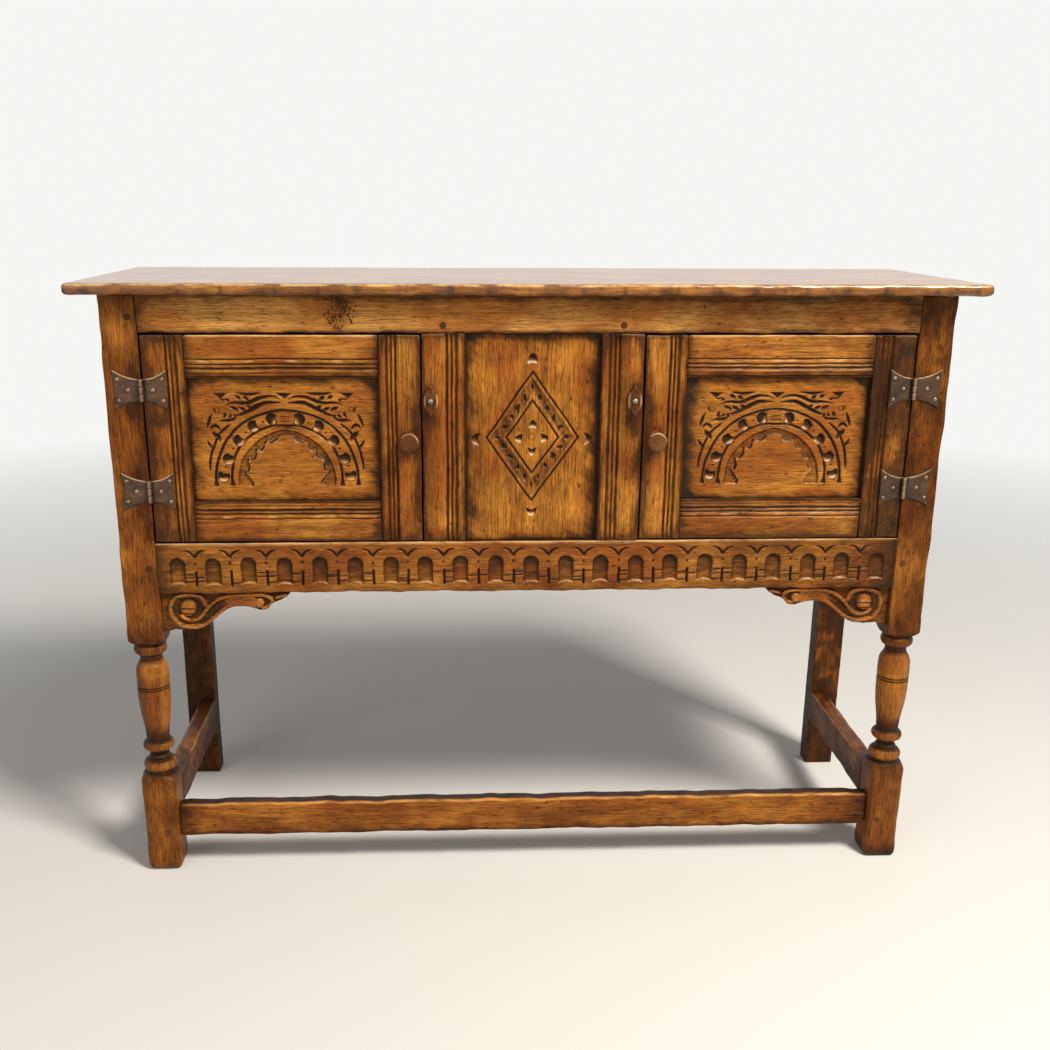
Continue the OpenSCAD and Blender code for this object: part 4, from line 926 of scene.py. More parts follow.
def centreRelief(u, v):
    low, high = centreSpan
    width, height = high[0] - low[0], high[2] - low[2]
    patinaAndShade = panelEdgeDark(u, v, width, height, 12, 0.16)
    a = u - width/2 + 0.6*lineNoise(v, 21)
    b = v - height/2 - 2 + 0.6*lineNoise(u, 22)
    k, steep, outerLine = lozengeLine(a, b, lozenge["half"])
    innerLine = lozengeLine(a, b, lozenge["inner"])[2]
    lines = lozenge["cut"]*np.maximum(outerLine, innerLine)
    middle, spreadK = lozenge["channel"]
    hollow = lozenge["hollow"]*np.sqrt(clip01(1 - ((k - middle)/spreadK)**2))
    turn = np.abs(b)/lozenge["half"][1]/np.maximum(k, 1e-3)                # 0 at a side corner, 1 at the top
    beadSpan = math.hypot(*lozenge["half"])*middle/lozenge["beads"]
    uneven = lineNoise(a*2 + b, 24, (41, 23, 13))
    step = (turn*lozenge["beads"] + 0.5 + 0.16*uneven) % 1 - 0.5
    bead = np.hypot(step*beadSpan, (k - middle)*steep + 1.2 + uneven)/(lozenge["bead"]*(1 + 0.25*uneven))
    nicks = lozenge["cut"]*np.sqrt(clip01(1 - bead**2))*(hollow > 0)
    rough = 0.4*(hollow > 0.4)*slowNoise(np.stack([a, b, b], 1), 25, (19, 11, 7))
    depth = np.maximum(lines, hollow + nicks + rough)
    wearAndHighlight = np.where((hollow > 0.5) & (bead > 1) & (bead < 1.4) & (step > 0), 0.6, 0)
    shade = np.where(hollow > 0.3, 0.46 + 0.5*clip01(nicks/1.6) + 0.2*uneven, 0)
    shade = np.maximum(shade, clip01(lines/1.6))
    # each thumbnail gouge gets painted shade towards its head and a painted highlight at its foot
    for x, y, turned, wide, tall, bite in thumbs:
        gouge = thumb(a, b, x, y, turned, wide, tall, bite, 1)
        foot, head = {0: (y, y + tall), 180: (y - tall, y)}.get(turned, (y - wide/2, y + wide/2))
        rise = clip01((b - foot)/(head - foot))
        depth = np.maximum(depth, lozenge["gouge"]*gouge*clip01(0.35 + rise))
        shade = np.maximum(shade, gouge*clip01(2.4*(rise - 0.2)))
        wearAndHighlight = np.maximum(wearAndHighlight, gouge*clip01(1.5 - rise/0.34))
    punched = ring(a, b, -1, 0, 4.5, 1.9, 1)
    return np.maximum(depth, 1.1*punched), np.maximum.reduce([patinaAndShade, shade, 0.7*punched]), wearAndHighlight


centreLow, centreHigh = nodeBox("centre_panel")
panelFace = centreLow[1]
panelBack = centreHigh[1]
centreSpan = (np.array([-muntinIn - inset, panelFace, sill - inset]),
              np.array([muntinIn + inset, panelBack, openTop + inset]))
makeBoard("centre_panel", *centreSpan, panelOakMaterial, along="v", arris=0.8, wobble=0.35,
          relief=centreRelief, dense=0.95, seed=90)
print("centre panel made")


# Door panels: a lunette of gouged discs under waving leaves

lunette = {"foot": 23, "deep": 2.6, "bite": 5.2, "recess": 3.8, "disc": 9.2, "gouge": 8.9, "scoop": 5.0,
           "bars": (94.6, 88.2), "leafWide": 1.65, "leafDeep": 1.5, "latchGrime": 0.7}
# each line of the arch: angles up from its foot and the radius there
bandLines = {"outer": ((11, 24, 39, 49), (107, 111, 114.7, 113)),
             "rim": ((0, 24, 37, 52, 90), (97.7, 100, 102, 103.3, 103.3)),
             "inner": ((0, 26, 43, 75, 90), (75.1, 79.7, 83, 84, 82)),
             "recess": ((0, 55, 90), (66.5, 72, 77)),
             "field": ((-5, 3, 9, 16, 24, 34, 46, 60, 75, 90),
                       (44, 50, 55, 58, 59, 60, 61, 63.5, 65.5, 67.5))}
biteTurns = [(7, 7.5), (24, 6.5), (41, 7), (57, 5.5), (74, 7)]            # angle and half width
# gouged hollows by angle, radius and side of the steep wall, and the discs left standing after each
gougePlaces = [(7.6, 88, 90), (24.4, 87, 98), (43.6, 88.5, 128), (61.7, 92, 122), (78.6, 92.6, 152)]
discPlaces = [(16.6, 87.5), (34.8, 88.2), (53.0, 91), (70.5, 92.5), (88, 93)]
leafStrokes = [  # width, depth and points of each
    (3.4, 2.6, [(-64, 127.2), (-54.7, 125.6), (-45.3, 125.4), (-36.7, 126.7), (-31, 127.4)]),
    (3.8, 2.8, [(-78.3, 111), (-71.8, 113.1), (-63.1, 113.6), (-54.6, 113), (-45.9, 114.6), (-38.8, 118),
                (-30.1, 121.4), (-21.4, 122.7), (-12.9, 121.7), (-6.5, 119)]),
    (4.4, 3.0, [(-68, 96.2), (-60, 97.2), (-50, 101.7), (-42, 105.9), (-34.9, 110.2), (-27, 113.6),
                (-20.1, 114.4), (-6, 113.6)]),
    (4.2, 2.2, [(-66, 123.4), (-62.5, 121.4), (-59, 118.9)]),
    (4.2, 2.2, [(-54.8, 122), (-51.2, 120), (-47.8, 117.6)]),
    (3.6, 2.0, [(-78.5, 118.6), (-76, 117.6), (-73, 116.4)]),
    (3.8, 2.2, [(-73, 108.4), (-69, 106.4), (-64.6, 104.4), (-64, 101.6)]),
    (3.8, 2.2, [(-61.6, 107.6), (-58, 105.4), (-54.4, 103.6), (-54, 101)]),
    (3.8, 2.2, [(-51, 109.6), (-47.4, 107.6), (-44, 105.6), (-43.6, 103)]),
    (3.4, 2.4, [(-88.6, 88.6), (-83, 89.8), (-78.3, 89.6), (-72, 90.2), (-66, 93.6)]),
    (3.2, 2.0, [(-83.4, 93.4), (-81, 96.4), (-80.3, 101)]),
    (3.0, 1.9, [(-76.4, 93.2), (-73.6, 95.6), (-73, 98.6)]),
    (3.0, 1.9, [(-70, 96.6), (-67.6, 95.6), (-66, 92)]),
    (3.4, 2.2, [(-98.6, 98.6), (-101.2, 94), (-102.8, 89), (-104.6, 84), (-105.5, 79.4)]),
    (3.6, 2.4, [(-101.8, 77.4), (-99.6, 80.8), (-95.4, 82.6), (-91.6, 80.8), (-89, 76.8)]),
    (5.6, 2.6, [(-98.4, 73.6), (-95.6, 70.8), (-91, 66.4), (-88.6, 62)]),
    (3.0, 2.2, [(-106.8, 62), (-105, 57.6), (-102, 53.4), (-98.6, 49)]),
    (2.4, 1.6, [(-87.6, 119.6), (-82, 118.4), (-76, 119.4)]),
    (2.2, 1.4, [(-94.6, 108.6), (-95.2, 104), (-92, 99.8)])]
notches = [((-96.7, 127.9), (-73.9, 127.6), (-86, 118.6)), ((-12.4, 127.6), (12.4, 127.6), (0, 118.2))]


def notchDepth(a, b, corners, depth):
    # triangular chip cut, deepest near its top edge
    centre = np.mean(corners, axis=0)
    inside = np.full(len(a), 1e9)
    for (x0, y0), (x1, y1) in zip(corners, corners[1:] + corners[:1]):
        length = math.hypot(x1 - x0, y1 - y0)
        side = ((x1 - x0)*(b - y0) - (y1 - y0)*(a - x0))/length
        sign = 1 if (x1 - x0)*(centre[1] - y0) - (y1 - y0)*(centre[0] - x0) > 0 else -1
        inside = np.minimum(inside, side*sign)
    return depth*edgeRise(inside, 2.2)


def lineCut(away, outside, inside):
    # V-shaped line with its own width on each side
    return clip01(1 - np.where(away > 0, away/outside, -away/inside))


def onArch(turn, radius):
    return -radius*math.cos(math.radians(turn)), radius*math.sin(math.radians(turn))


def gougedHollow(a, b, gouge, disc):
    # a round hollow with a disc left standing in it, deepest at the steep wall, and its lit floor
    gougeX, gougeY = onArch(*gouge[:2])
    discX, discY = onArch(*disc)
    fromDisc = np.hypot(a - discX, b - discY) - lunette["disc"]
    inGouge = lunette["gouge"] - np.hypot(a - gougeX, b - gougeY)
    scoop = edgeRise(fromDisc, 0.7)*edgeRise(inGouge, 1.0)*edgeRise(b + 2.4, 0.8)
    wall = math.radians(gouge[2])
    toWall = ((a - gougeX)*math.cos(wall) + (b - gougeY)*math.sin(wall))/8.6
    floor = clip01(0.05 - 1.5*toWall)*clip01((inGouge - 0.7)/2)*clip01((fromDisc - 0.4)/2)
    return scoop, lunette["scoop"]*scoop*clip01(0.62 + 0.5*toWall), floor


def smallCuts(a, b, radius, turn):
    # bars, ticks and a short arch in the middle, dots in the discs, leaves, chips and nicks
    depth = np.zeros(len(a))
    for disc in discPlaces[:-1]:
        discX, discY = onArch(*disc)
        depth = np.maximum(depth, 1.5*clip01(1.35 - np.hypot(a - discX, (b - discY)*1.2)/1.9))
    upper, lower = lunette["bars"]
    bars = np.maximum(lineCut(b - upper, 0.9, 0.9), lineCut(b - lower, 0.9, 0.9))*(np.abs(a) < 6.5)
    ticks = clip01(1 - np.abs(np.abs(a) % 3.6 - 1.8)/0.9)
    ticks = ticks*(np.abs(b - (upper + lower)/2) < 2.2)*(np.abs(a) < 6)
    arch = lineCut(radius - 79.4, 0.9, 0.9)*(turn > 76)
    depth = np.maximum.reduce([depth, 1.6*bars, 1.2*ticks, 1.5*arch])
    for wide, cut, points in leafStrokes:
        leaf = stroke(a, b, points, wide*lunette["leafWide"], cut*lunette["leafDeep"], 0.4)
        depth = np.maximum(depth, leaf)
    for corners in notches:
        depth = np.maximum(depth, notchDepth(a, b, list(corners), 3.4))
    nick = (np.abs(a + 103.4) < 3)*lineCut(np.abs(b - 116) - 1.8, 1.1, 1.1)
    topNick = 2.2*clip01(1 - np.hypot(a/6.2, (b - 142)/1.5))
    return np.maximum.reduce([depth, ring(a, b, -90.4, 104.2, 2.9, 1.8, 1.4), 1.3*nick, topNick])


def lunetteRelief(u, v, width, height, seed, latchGrime):
    a = -np.abs(u - width/2 + 0.5*lineNoise(v, seed + 1)) + 0.4*lineNoise(u + v, seed + 3, (60, 29, 13))
    b = v - lunette["foot"] - inset + 0.4*lineNoise(u, seed + 2, (60, 31, 17))
    radius = np.hypot(a, b)
    turn = np.degrees(np.arctan2(b, -a))
    above = edgeRise(b + 2.6, 1.0)
    outer, rim, inner, recess, field = [radius - np.interp(turn, *bandLines[line])
                                        for line in ("outer", "rim", "inner", "recess", "field")]
    outerCut = 2.6*clip01(1.5*lineCut(outer, 2, 2))*clip01((turn - 9)/6)*clip01((50 - turn)/5)
    flare = 1 + 0.9*clip01(1 - b/7)                                        # lines widen at their feet
    rimLine, innerLine = lineCut(rim, 2.1*flare, 2.1*flare), lineCut(inner, 2.2*flare, 2.1*flare)
    rimCut = lunette["deep"]*np.maximum(clip01(1.6*rimLine), 0.5*lineCut(rim, 1.3, 5))
    innerCut = lunette["deep"]*np.maximum(clip01(1.6*innerLine), 0.35*lineCut(inner, 4, 1.3))
    bite = np.zeros(len(u))
    for middle, half in biteTurns:
        bite = np.maximum(bite, np.sqrt(clip01(1 - ((turn - middle)/half)**2)))
    field = field + lunette["bite"]*bite - 1.2 + 0.6*lineNoise(turn, seed + 8, (41, 23, 13))
    hollow = edgeRise(-recess, 1.6)*edgeRise(field, 1.1)*(0.5 + 0.5*clip01(1.2 - field/9))
    depth = np.maximum.reduce([outerCut, rimCut, innerCut, lunette["recess"]*hollow])*above
    wallShade, rimLight, inScoop = np.zeros(len(u)), np.zeros(len(u)), np.zeros(len(u))
    for gouge, disc in zip(gougePlaces, discPlaces):
        scoop, scooped, floor = gougedHollow(a, b, gouge, disc)
        depth = np.maximum(depth, scooped)
        wallShade = np.maximum(wallShade, scoop*clip01(1.5 - 2.2*floor))
        rimLight = np.maximum(rimLight, scoop*floor**1.3*0.7)
        inScoop = np.maximum(inScoop, scoop)
    depth = np.maximum(depth, smallCuts(a, b, radius, turn))
    patinaAndShade = panelEdgeDark(u, v, width, height, seed, -0.02)
    patinaAndShade += latchGrime*np.exp(-u/24)
    uneven = lineNoise(turn*1.4 + a*0.2, seed + 9, (37, 19, 11))
    band = np.where(recess < 0.5, 0.34 + 0.35*clip01(1 + recess/3) + 0.14*uneven, 0)*(field > 0)
    band = np.maximum(band, (recess < 0)*clip01(1.6 - np.abs(field - 0.9)/1.1))*above
    lineShade = clip01((depth - 0.4)/1.0)*(inScoop < 0.05)*(hollow < 0.2)
    patinaAndShade = np.maximum.reduce([patinaAndShade, band, lineShade, wallShade])
    # the lit floors of the gouges lift the painted shade; they, a band inside the rim line and the edges and
    # tops of the scallops get painted highlights
    patinaAndShade = patinaAndShade*(1 - 0.75*clip01(rimLight*2))
    edge = np.where((rim < -3) & (rim > -7), 0.2, 0) + 1.2*rimLight
    edge += clip01(1.2 - np.abs(field + 1.6)/1.2)*np.clip(0.2 + 0.8*uneven, 0, 0.8)
    edge += clip01(1.2 - np.abs(field - 3.4)/1.1)*(bite > 0.4)*0.7*(recess < -3)
    return depth, patinaAndShade, edge*(b > 0)


# Doors

def makeDoor(side, way, seed):
    part = side + "_door_"
    hinge, latch = nodeBox(part + "hinge_stile"), nodeBox(part + "latch_stile")
    panelSides = ("high", "low") if way < 0 else ("low", "high")
    x0, x1 = (hinge[1][0], latch[0][0]) if way < 0 else (latch[1][0], hinge[0][0])
    nearHinge = (9, 4) if way < 0 else (4, 9)
    tone = tones[side]
    hingeStains = [(505, 733, 30, 32, 0.2), (508, 703, 20, 14, 0.45), (505, 593, 30, 32, 0.2),
                   (508, 562, 22, 18, 0.45), (500, 692, 9, 9, 0.5)]
    latchStains = [(172, 654, 17, 20, 0.6), (158, 700, 12, 24, 0.6), (157, 590, 5, 60, 0.3)]
    moulded(part + "hinge_stile", *hinge, "stile", panelSides[0], seed,
            stains=[(way*x, *rest) for x, *rest in hingeStains],
            grime=(1.15*tone - 0.02, *nearHinge, 16, 12))
    moulded(part + "latch_stile", *latch, "latch", panelSides[1], seed + 1,
            stains=[(way*x, *rest) for x, *rest in latchStains], grime=(0.03, 5, 5, 10, 6))
    railGrime = {"top_rail": (0.3*tone - 0.02, 6, 6, 2, 0), "bottom_rail": (0.5*tone - 0.04, 8, 8, 5, 1)}
    for number, (rail, panelSide) in enumerate((("top_rail", "low"), ("bottom_rail", "high"))):
        low, high = nodeBox(part + rail)
        low[0], high[0] = x0, x1
        moulded(part + rail, low, high, "rail", panelSide, seed + 2 + number, grime=railGrime[rail])
    bottom, top = nodeBox(part + "bottom_rail")[1][2], nodeBox(part + "top_rail")[0][2]
    low = np.array([x0 - inset, panelFace, bottom - inset])
    high = np.array([x1 + inset, panelBack, top + inset])
    width, height = high[0] - low[0], high[2] - low[2]
    latchGrime = lunette["latchGrime"] if side == "right" else 0

    def relief(u, v):
        return lunetteRelief(u, v, width, height, seed + 5, latchGrime)
    makeBoard(part + "panel", low, high, panelOakMaterial, along="u", arris=0.8, wobble=0.3, relief=relief,
              dense=0.9, seed=seed + 6)


for side, way in outward.items():
    makeDoor(side, way, 100 if way < 0 else 130)
print("doors made")


# Stretchers, side frames and back

low, high = nodeBox("front_stretcher")
low[0], high[0] = -postIn, postIn
makeBoard("front_stretcher", low, high, postOakMaterial, step=7, arris=3.2, wobble=0.7, waves=(1.5, 2.6),
          grime=(0.02, 24, 24, 6, 0), seed=160)


def makeSidePiece(node, seed, **settings):
    # between a front and a back leg
    low, high = nodeBox(node)
    low[1], high[1] = frontLeg[1][1], backLeg[0][1]
    if "panel" in node:
        low[2], high[2] = sill, openTop
    makeBoard(node, low, high, postOakMaterial, facing="left" if "left" in node else "right", seed=seed,
              **settings)


for side, way in outward.items():
    makeSidePiece("side_stretcher_" + side, 161 + (way > 0), step=7, arris=3.2, wobble=0.7, waves=(1, 2),
                  grime=(0.28, 30, 40, 10, 0))
sideArrises = {"top_rail": 1.6, "bottom_rail": 1.6, "panel": 0.5}
for number, (piece, arris) in enumerate(sideArrises.items()):
    for side, way in outward.items():
        makeSidePiece("side_" + piece + "_" + side, 170 + 2*number + (way > 0), step=10, arris=arris)
for number, node in enumerate(("back_top_rail", "back_bottom_rail")):
    low, high = nodeBox(node)
    low[0], high[0] = backLeg[1][0], -backLeg[1][0]
    makeBoard(node, low, high, postOakMaterial, facing="back", step=12, arris=1.4, seed=180 + number)
print("stretchers, sides and back rails made")


# Scroll brackets

bracket = {"thick": 19, "step": 0.95, "arris": 1.6, "ground": 4.2, "backing": 6.6}


def bracketOutline():
    # distance from the post and depth below the rail
    lower = [(18, 55), (28, 56), (38.7, 55.6), (50.3, 53.7), (63.8, 48.0), (77.8, 36.5), (88.2, 28),
             (100, 21.3), (111.4, 19.5), (122, 20), (130.8, 22), (138, 25.6), (146, 26), (151.8, 23.2),
             (156, 18), (160.4, 14.7), (170.3, 11.3), (180.4, 4.6), (183.7, 1)]
    return [(0, 0), (0, 58.8), (7, 58.4)] + [tuple(p) for p in smoothPath(lower, 4)] + [(183.9, 0)]


def insideOutline(u, v, outline):
    # distance to the outline, positive inside it
    away = pathDistance(u, v, outline + outline[:1])[0]
    crossings = np.zeros(len(u), int)
    for (x0, y0), (x1, y1) in zip(outline, outline[1:] + outline[:1]):
        between = (v < y0) != (v < y1)
        if y0 != y1:
            crossings += between & (u < (x1 - x0)*(v - y0)/(y1 - y0) + x0)
    return np.where(crossings % 2 == 1, away, -away)


def nearestOn(point, outline):
    best = None
    for (x0, y0), (x1, y1) in zip(outline, outline[1:] + outline[:1]):
        length = math.hypot(x1 - x0, y1 - y0)
        t = min(1, max(0, ((point[0] - x0)*(x1 - x0) + (point[1] - y0)*(y1 - y0))/length**2))
        spot = (x0 + t*(x1 - x0), y0 + t*(y1 - y0))
        away = math.hypot(point[0] - spot[0], point[1] - spot[1])
        if best is None or away < best[0]:
            best = (away, spot)
    return best[1]


ridges = [  # half width and path of each rounded ridge, from the post and down from the rail
    (3.7, [(63, 18), (60.3, 11), (55, 5.4), (46.8, 3), (35.8, 2.8), (24.5, 4.4), (17, 10.2), (13.6, 19.3),
           (14, 29), (17.4, 37.4), (23.8, 45), (33, 49.4), (45.5, 50.8), (58, 48.4), (69, 42),
           (78.5, 33.6), (88.2, 25.3), (99, 18.6), (113, 16.6), (126, 17.4)]),
    (3.3, [(28.2, 33), (33.1, 38), (42.7, 40.6), (52.3, 38.4), (59.4, 31.4), (66.4, 22.6), (74.6, 14.6),
           (84, 8.6), (96.4, 5), (111.6, 3.4), (132, 3), (148.6, 3.8), (156.6, 8.6), (158, 14),
           (153.6, 19.4), (144.6, 22.8)]),
    (2.8, [(164, 7.4), (170, 5.6), (178, 4.2)])]
bosses = [(38, 22.4, 11.6, 12.4), (139.4, 15, 7.2, 7.8)]                   # centre and half sizes


def bracketRelief(u, v):
    # the black lines beside the ridges and round the bosses, heavier on one side of each boss, are painted
    # shadow cut a little deeper; the crests' wear is partly painted highlight
    height, black = np.zeros(len(u)), np.zeros(len(u))
    for number, (half, path) in enumerate(ridges):
        away = pathDistance(u, v, smoothPath(path, 3))[0]
        height = np.maximum(height, np.sqrt(clip01(1 - (away/half)**2)))
        beside = clip01(1.3 - np.abs(away - half - 0.7)/1.1)
        black = np.maximum(black, beside*((np.hypot(u - 38, v - 27) > 24) if number == 0 else (v < 30)))
    for x, y, halfX, halfY in bosses:
        away = np.hypot((u - x)/halfX, (v - y)/halfY)
        height = np.maximum(height, np.sqrt(clip01(1 - away**4)))
        side = clip01((u - x - v + y)/halfX/1.4)
        around = clip01(1.3 - np.abs(away - 1.14 - 0.1*side)*(6 - 3*side))
        black = np.maximum(black, around*(away > 0.97))
    neck = clip01((u - 86)/16)*(u < 134)*(v > np.interp(u, (84, 96, 112, 132), (9.5, 6, 4.4, 4)))
    height = np.maximum(height, neck*(0.72 + 0.2*clip01((v - 8)/8)))
    black = black*(1 - neck)*(height < 0.5)
    rough = slowNoise(np.stack([u, v, v], axis=1), 61, (23, 11, 6))
    depth = bracket["ground"]*(1 - height) + 0.35*rough*(height < 0.3) + 0.8*black
    saw = np.maximum(clip01(1.4*(1 - np.abs(v - 23.6)/1.3)), clip01(1.4*(1 - np.abs(v - 31)/1.1)))
    saw = saw*(np.abs(u - 37) < 10.5)
    depth = np.maximum(depth, 2.8*saw)
    # backing set back beside the post and in the neck of the scroll
    around = np.hypot(u - 38.5, (v - 27.5)*1.02)
    inNeck = (u > 60) & (u < 90) & (v < 19 - (u - 60)*0.62) & (height < 0.1)
    backing = ((u < 33) & (around > 27.8)) | inNeck
    depth = np.maximum(depth, np.where(backing & (height < 0.5), bracket["backing"], 0))
    depth = np.maximum(depth, 4.6*clip01((u - 159)/2)*clip01(1 - height*1.2))
    patinaAndShade = np.clip(0.72 - 0.62*height, 0.16, 0.72) - 0.2*rough
    patinaAndShade = np.where(backing, 0.52, np.maximum.reduce([patinaAndShade, saw, black]))
    wearAndHighlight = 0.45*clip01((height - 0.82)/0.15)*(1 - neck)
    return np.maximum(depth, 0), patinaAndShade, wearAndHighlight


def makeBracket(side, way, seed):
    node = "scroll_bracket_" + side
    low, high = nodeBox(node)
    outline = bracketOutline()
    wide, deep = high[0] - low[0], high[2] - low[2]
    step, arris = bracket["step"], bracket["arris"]
    bm = sheet(np.arange(0, wide + 1, step), np.arange(0, deep + 1, step))
    flat = restOf(bm)
    inside = insideOutline(flat[:, 0], flat[:, 1], outline)
    outer = [bm.verts[i] for i in np.nonzero(inside < -0.35*step)[0]]
    bmesh.ops.delete(bm, geom=outer, context="VERTS")
    bmesh.ops.delete(bm, geom=[v for v in bm.verts if not v.link_faces], context="VERTS")
    for vert in {v for e in bm.edges if e.is_boundary for v in e.verts}:
        vert.co.x, vert.co.y = nearestOn(vert.co, outline)
    made = thicken(bm, bracket["thick"])
    bmesh.ops.dissolve_faces(bm, faces=facesOf(made), use_verts=True)
    rest = restOf(bm)
    points = rest.copy()
    face = rest[:, 2] < 0.01
    u, v = rest[face, 0], rest[face, 1]
    inside = np.abs(insideOutline(u, v, outline))
    depth, dark, rub = bracketRelief(u, v)
    rounding = arris - np.sqrt(np.clip(arris**2 - np.clip(arris - inside, 0, arris)**2, 0, None))
    points[face, 2] += np.maximum(depth, rounding)
    patinaAndShade = np.full(len(rest), 0.35)
    wearAndHighlight = np.zeros(len(rest))
    patinaAndShade[face] = dark
    wearAndHighlight[face] = np.maximum(rub, 0.4*clip01(1 - inside/2.4)*(v > 6))
    placed = np.stack([way*(postIn - points[:, 0]), low[1] + points[:, 2], high[2] - points[:, 1]], axis=1)
    placed += waver(placed, 0.3, seed)
    moveTo(bm, np.clip(placed, low, high))
    finishPiece(bm, node + "_oak", node, frameOakMaterial, grainOf(rest, "u", seed), wearAndHighlight, patinaAndShade)


for side, way in outward.items():
    makeBracket(side, way, 190 + (way > 0))
print("brackets made")


# Butterfly hinges

leafShape = {"knuckle": 4.0, "pinch": 15.0, "thick": 1.7, "edge": 1.1, "gap": 0.2, "third": 10.0,
             "nails": ((6, 14.5), (19, 0), (6, -14.5)),   # in from the outer edge, up from the middle
             "rows": (-1, -0.97, -0.93, -0.87, -0.8), "rightGrime": 0.32}


def makeLeaf(node, doorSide, seed):
    low, high = nodeBox(node)
    axisX = math.copysign(postIn - 1, low[0])
    middle, tall = (low[2] + high[2])/2, (high[2] - low[2])/2
    way = 1 if abs(high[0] - axisX) > abs(low[0] - axisX) else -1
    wide = max(abs(low[0] - axisX), abs(high[0] - axisX))
    pinch, knuckle, edge = leafShape["pinch"], leafShape["knuckle"], leafShape["edge"]
    rows = [*leafShape["rows"], *np.linspace(-0.7, 0.7, 16), *(-row for row in leafShape["rows"][::-1])]
    bm = latticeBoard(cuts(wide, 1.6, near=(0, 0.5, 1.1)), rows, [0, 0.6, leafShape["thick"]], flatBack=True)
    across, level, w = restOf(bm).T
    flare = pinch + (tall - pinch)*clip01((across - 3)/(wide - 3))**1.9
    up = level*(flare + 0.25*lineNoise(across, seed, (17, 9, 5)))
    out = across*(1 - 0.035*(1 - level**2)*clip01(across/wide)**3)
    rim = np.minimum(flare - np.abs(up), wide - across)
    back = w + edge*clip01(1 - rim/edge)**2*(w < 0.5)*0.6
    back -= 0.25*slowNoise(np.stack([out, up, up], axis=1), seed, (14, 9, 6))*(w < 0.1)*(rim > 1)
    # a painted highlight along the upper rim; painted shadow along the lower rim, beside the knuckle and in
    # a ring round each nail head
    wearAndHighlight = np.clip(1.3 - (flare - up)/1.4, 0, 0.9)*(w < 1)
    patinaAndShade = 0.75*clip01(1.3 - (flare + up)/1.6) + 0.7*clip01(1.6 - across/5)
    patinaAndShade += leafShape["rightGrime"]*(low[0] > 0)
    for inward, rise in leafShape["nails"]:
        patinaAndShade += 0.6*clip01(1.4 - np.abs(np.hypot(wide - inward - out, up - rise) - 3.4)/1.2)
    plate = np.stack([axisX + way*out, frontY - leafShape["thick"] + back, middle + up], axis=1)
    moveTo(bm, plate/mm)
    third, gap = leafShape["third"]/2, leafShape["gap"]
    spans = [(gap - third, third - gap)] if doorSide else [(-pinch, -third - gap), (third + gap, pinch)]
    for bottom, top in spans:
        rise = top - bottom
        profile = [(0, 0), (2.6, 0), (3.5, 0.5), (3.9, 1.4), (3.5, rise*0.36), (3.7, rise/2),
                   (3.5, rise*0.64), (3.9, rise - 1.4), (3.5, rise - 0.5), (2.6, rise), (0, rise)]
        turnProfile(bm, [(axisX + x, low[1] + knuckle, middle + bottom + z) for x, z in profile],
                    (axisX, low[1] + knuckle, 0), (0, 0, 1), 28)
    bmesh.ops.remove_doubles(bm, verts=bm.verts, dist=0.005)
    points = restOf(bm)
    fromPin, front = points[len(wearAndHighlight):, 0] - axisX, points[len(wearAndHighlight):, 1]
    # the knuckles get a painted highlight on their front and painted shade on their sides
    wearAndHighlight = np.concatenate([wearAndHighlight, 0.35*(fromPin < 1)*(front < low[1] + 1.2)])
    patinaAndShade = np.concatenate([np.clip(patinaAndShade, 0, 0.9), np.clip(np.abs(fromPin)/2.6 - 0.6, 0, 0.8)])
    moveTo(bm, np.clip(points, low, high))
    finishPiece(bm, node + "_iron", node, ironMaterial, wearAndHighlight=wearAndHighlight, patinaAndShade=patinaAndShade)


leafNodes = [node for node in frame["nodes"] if "leaf" in node and "nails" not in node]
for seed, node in enumerate(sorted(leafNodes)):
    makeLeaf(node, "door" in node, 200 + seed)
print("hinges made")


# Knobs and turn buttons

buttonShape = {"endShare": 0.45,
               "layers": ((1.0, 0.05), (1.0, 0.4), (0.985, 0.62), (0.93, 0.8), (0.8, 0.93), (0.62, 1.0))}


def makeKnob(node, seed):
    low, high = nodeBox(node)
    centre = (low + high)/2
    reach = frontY - low[1]
    # radius and distance from the door's face
    outline = [(9.4, -2), (9, 1), (8.4, 3.2), (9.4, 5.4), (12.2, 7.4), (13.2, 10), (12.8, 13),
               (11.5, 14.8), (11.4, 16), (12.6, 17.2), (13.6, 19.4), (13.7, 22.6), (13.2, reach - 2.4),
               (11.6, reach - 0.7), (8.6, reach - 0.1), (4, reach - 0.3)]
    bm = bmesh.new()
    profile = [(0, outline[0][1]), *smoothPath(outline, 3), (0, outline[-1][1])]
    turnProfile(bm, [(x, -y, 0) for x, y in profile], (0, 0, 0), (0, 1, 0), 48)
    bmesh.ops.remove_doubles(bm, verts=bm.verts, dist=0.01)
    rest = restOf(bm)
    x, y, z = rest.T
    points = rest + waver(rest, 0.35, seed, (34, 17, 9))
    # a painted highlight on the rim of the face and on the shoulder, brighter towards the upper right
    edge = clip01(1 - np.abs(y + reach - 2)/2.2) + 0.5*clip01(1 - np.abs(y + 10.6)/2)
    wearAndHighlight = edge*clip01((np.hypot(x, z) - 10.6)/1.8)*clip01(0.2 + z/9 + x/30)
    patinaAndShade = 0.9*clip01(1.4 - np.abs(y + 15.4)/1.3) + 0.7*(y > -6)
    points += [centre[0], frontY, centre[2]]
    moveTo(bm, np.clip(points, low, high + [0, 3, 0]))
    finishPiece(bm, node + "_turned", node, turnedMaterial, grainOf(rest, "v", seed), wearAndHighlight, patinaAndShade)


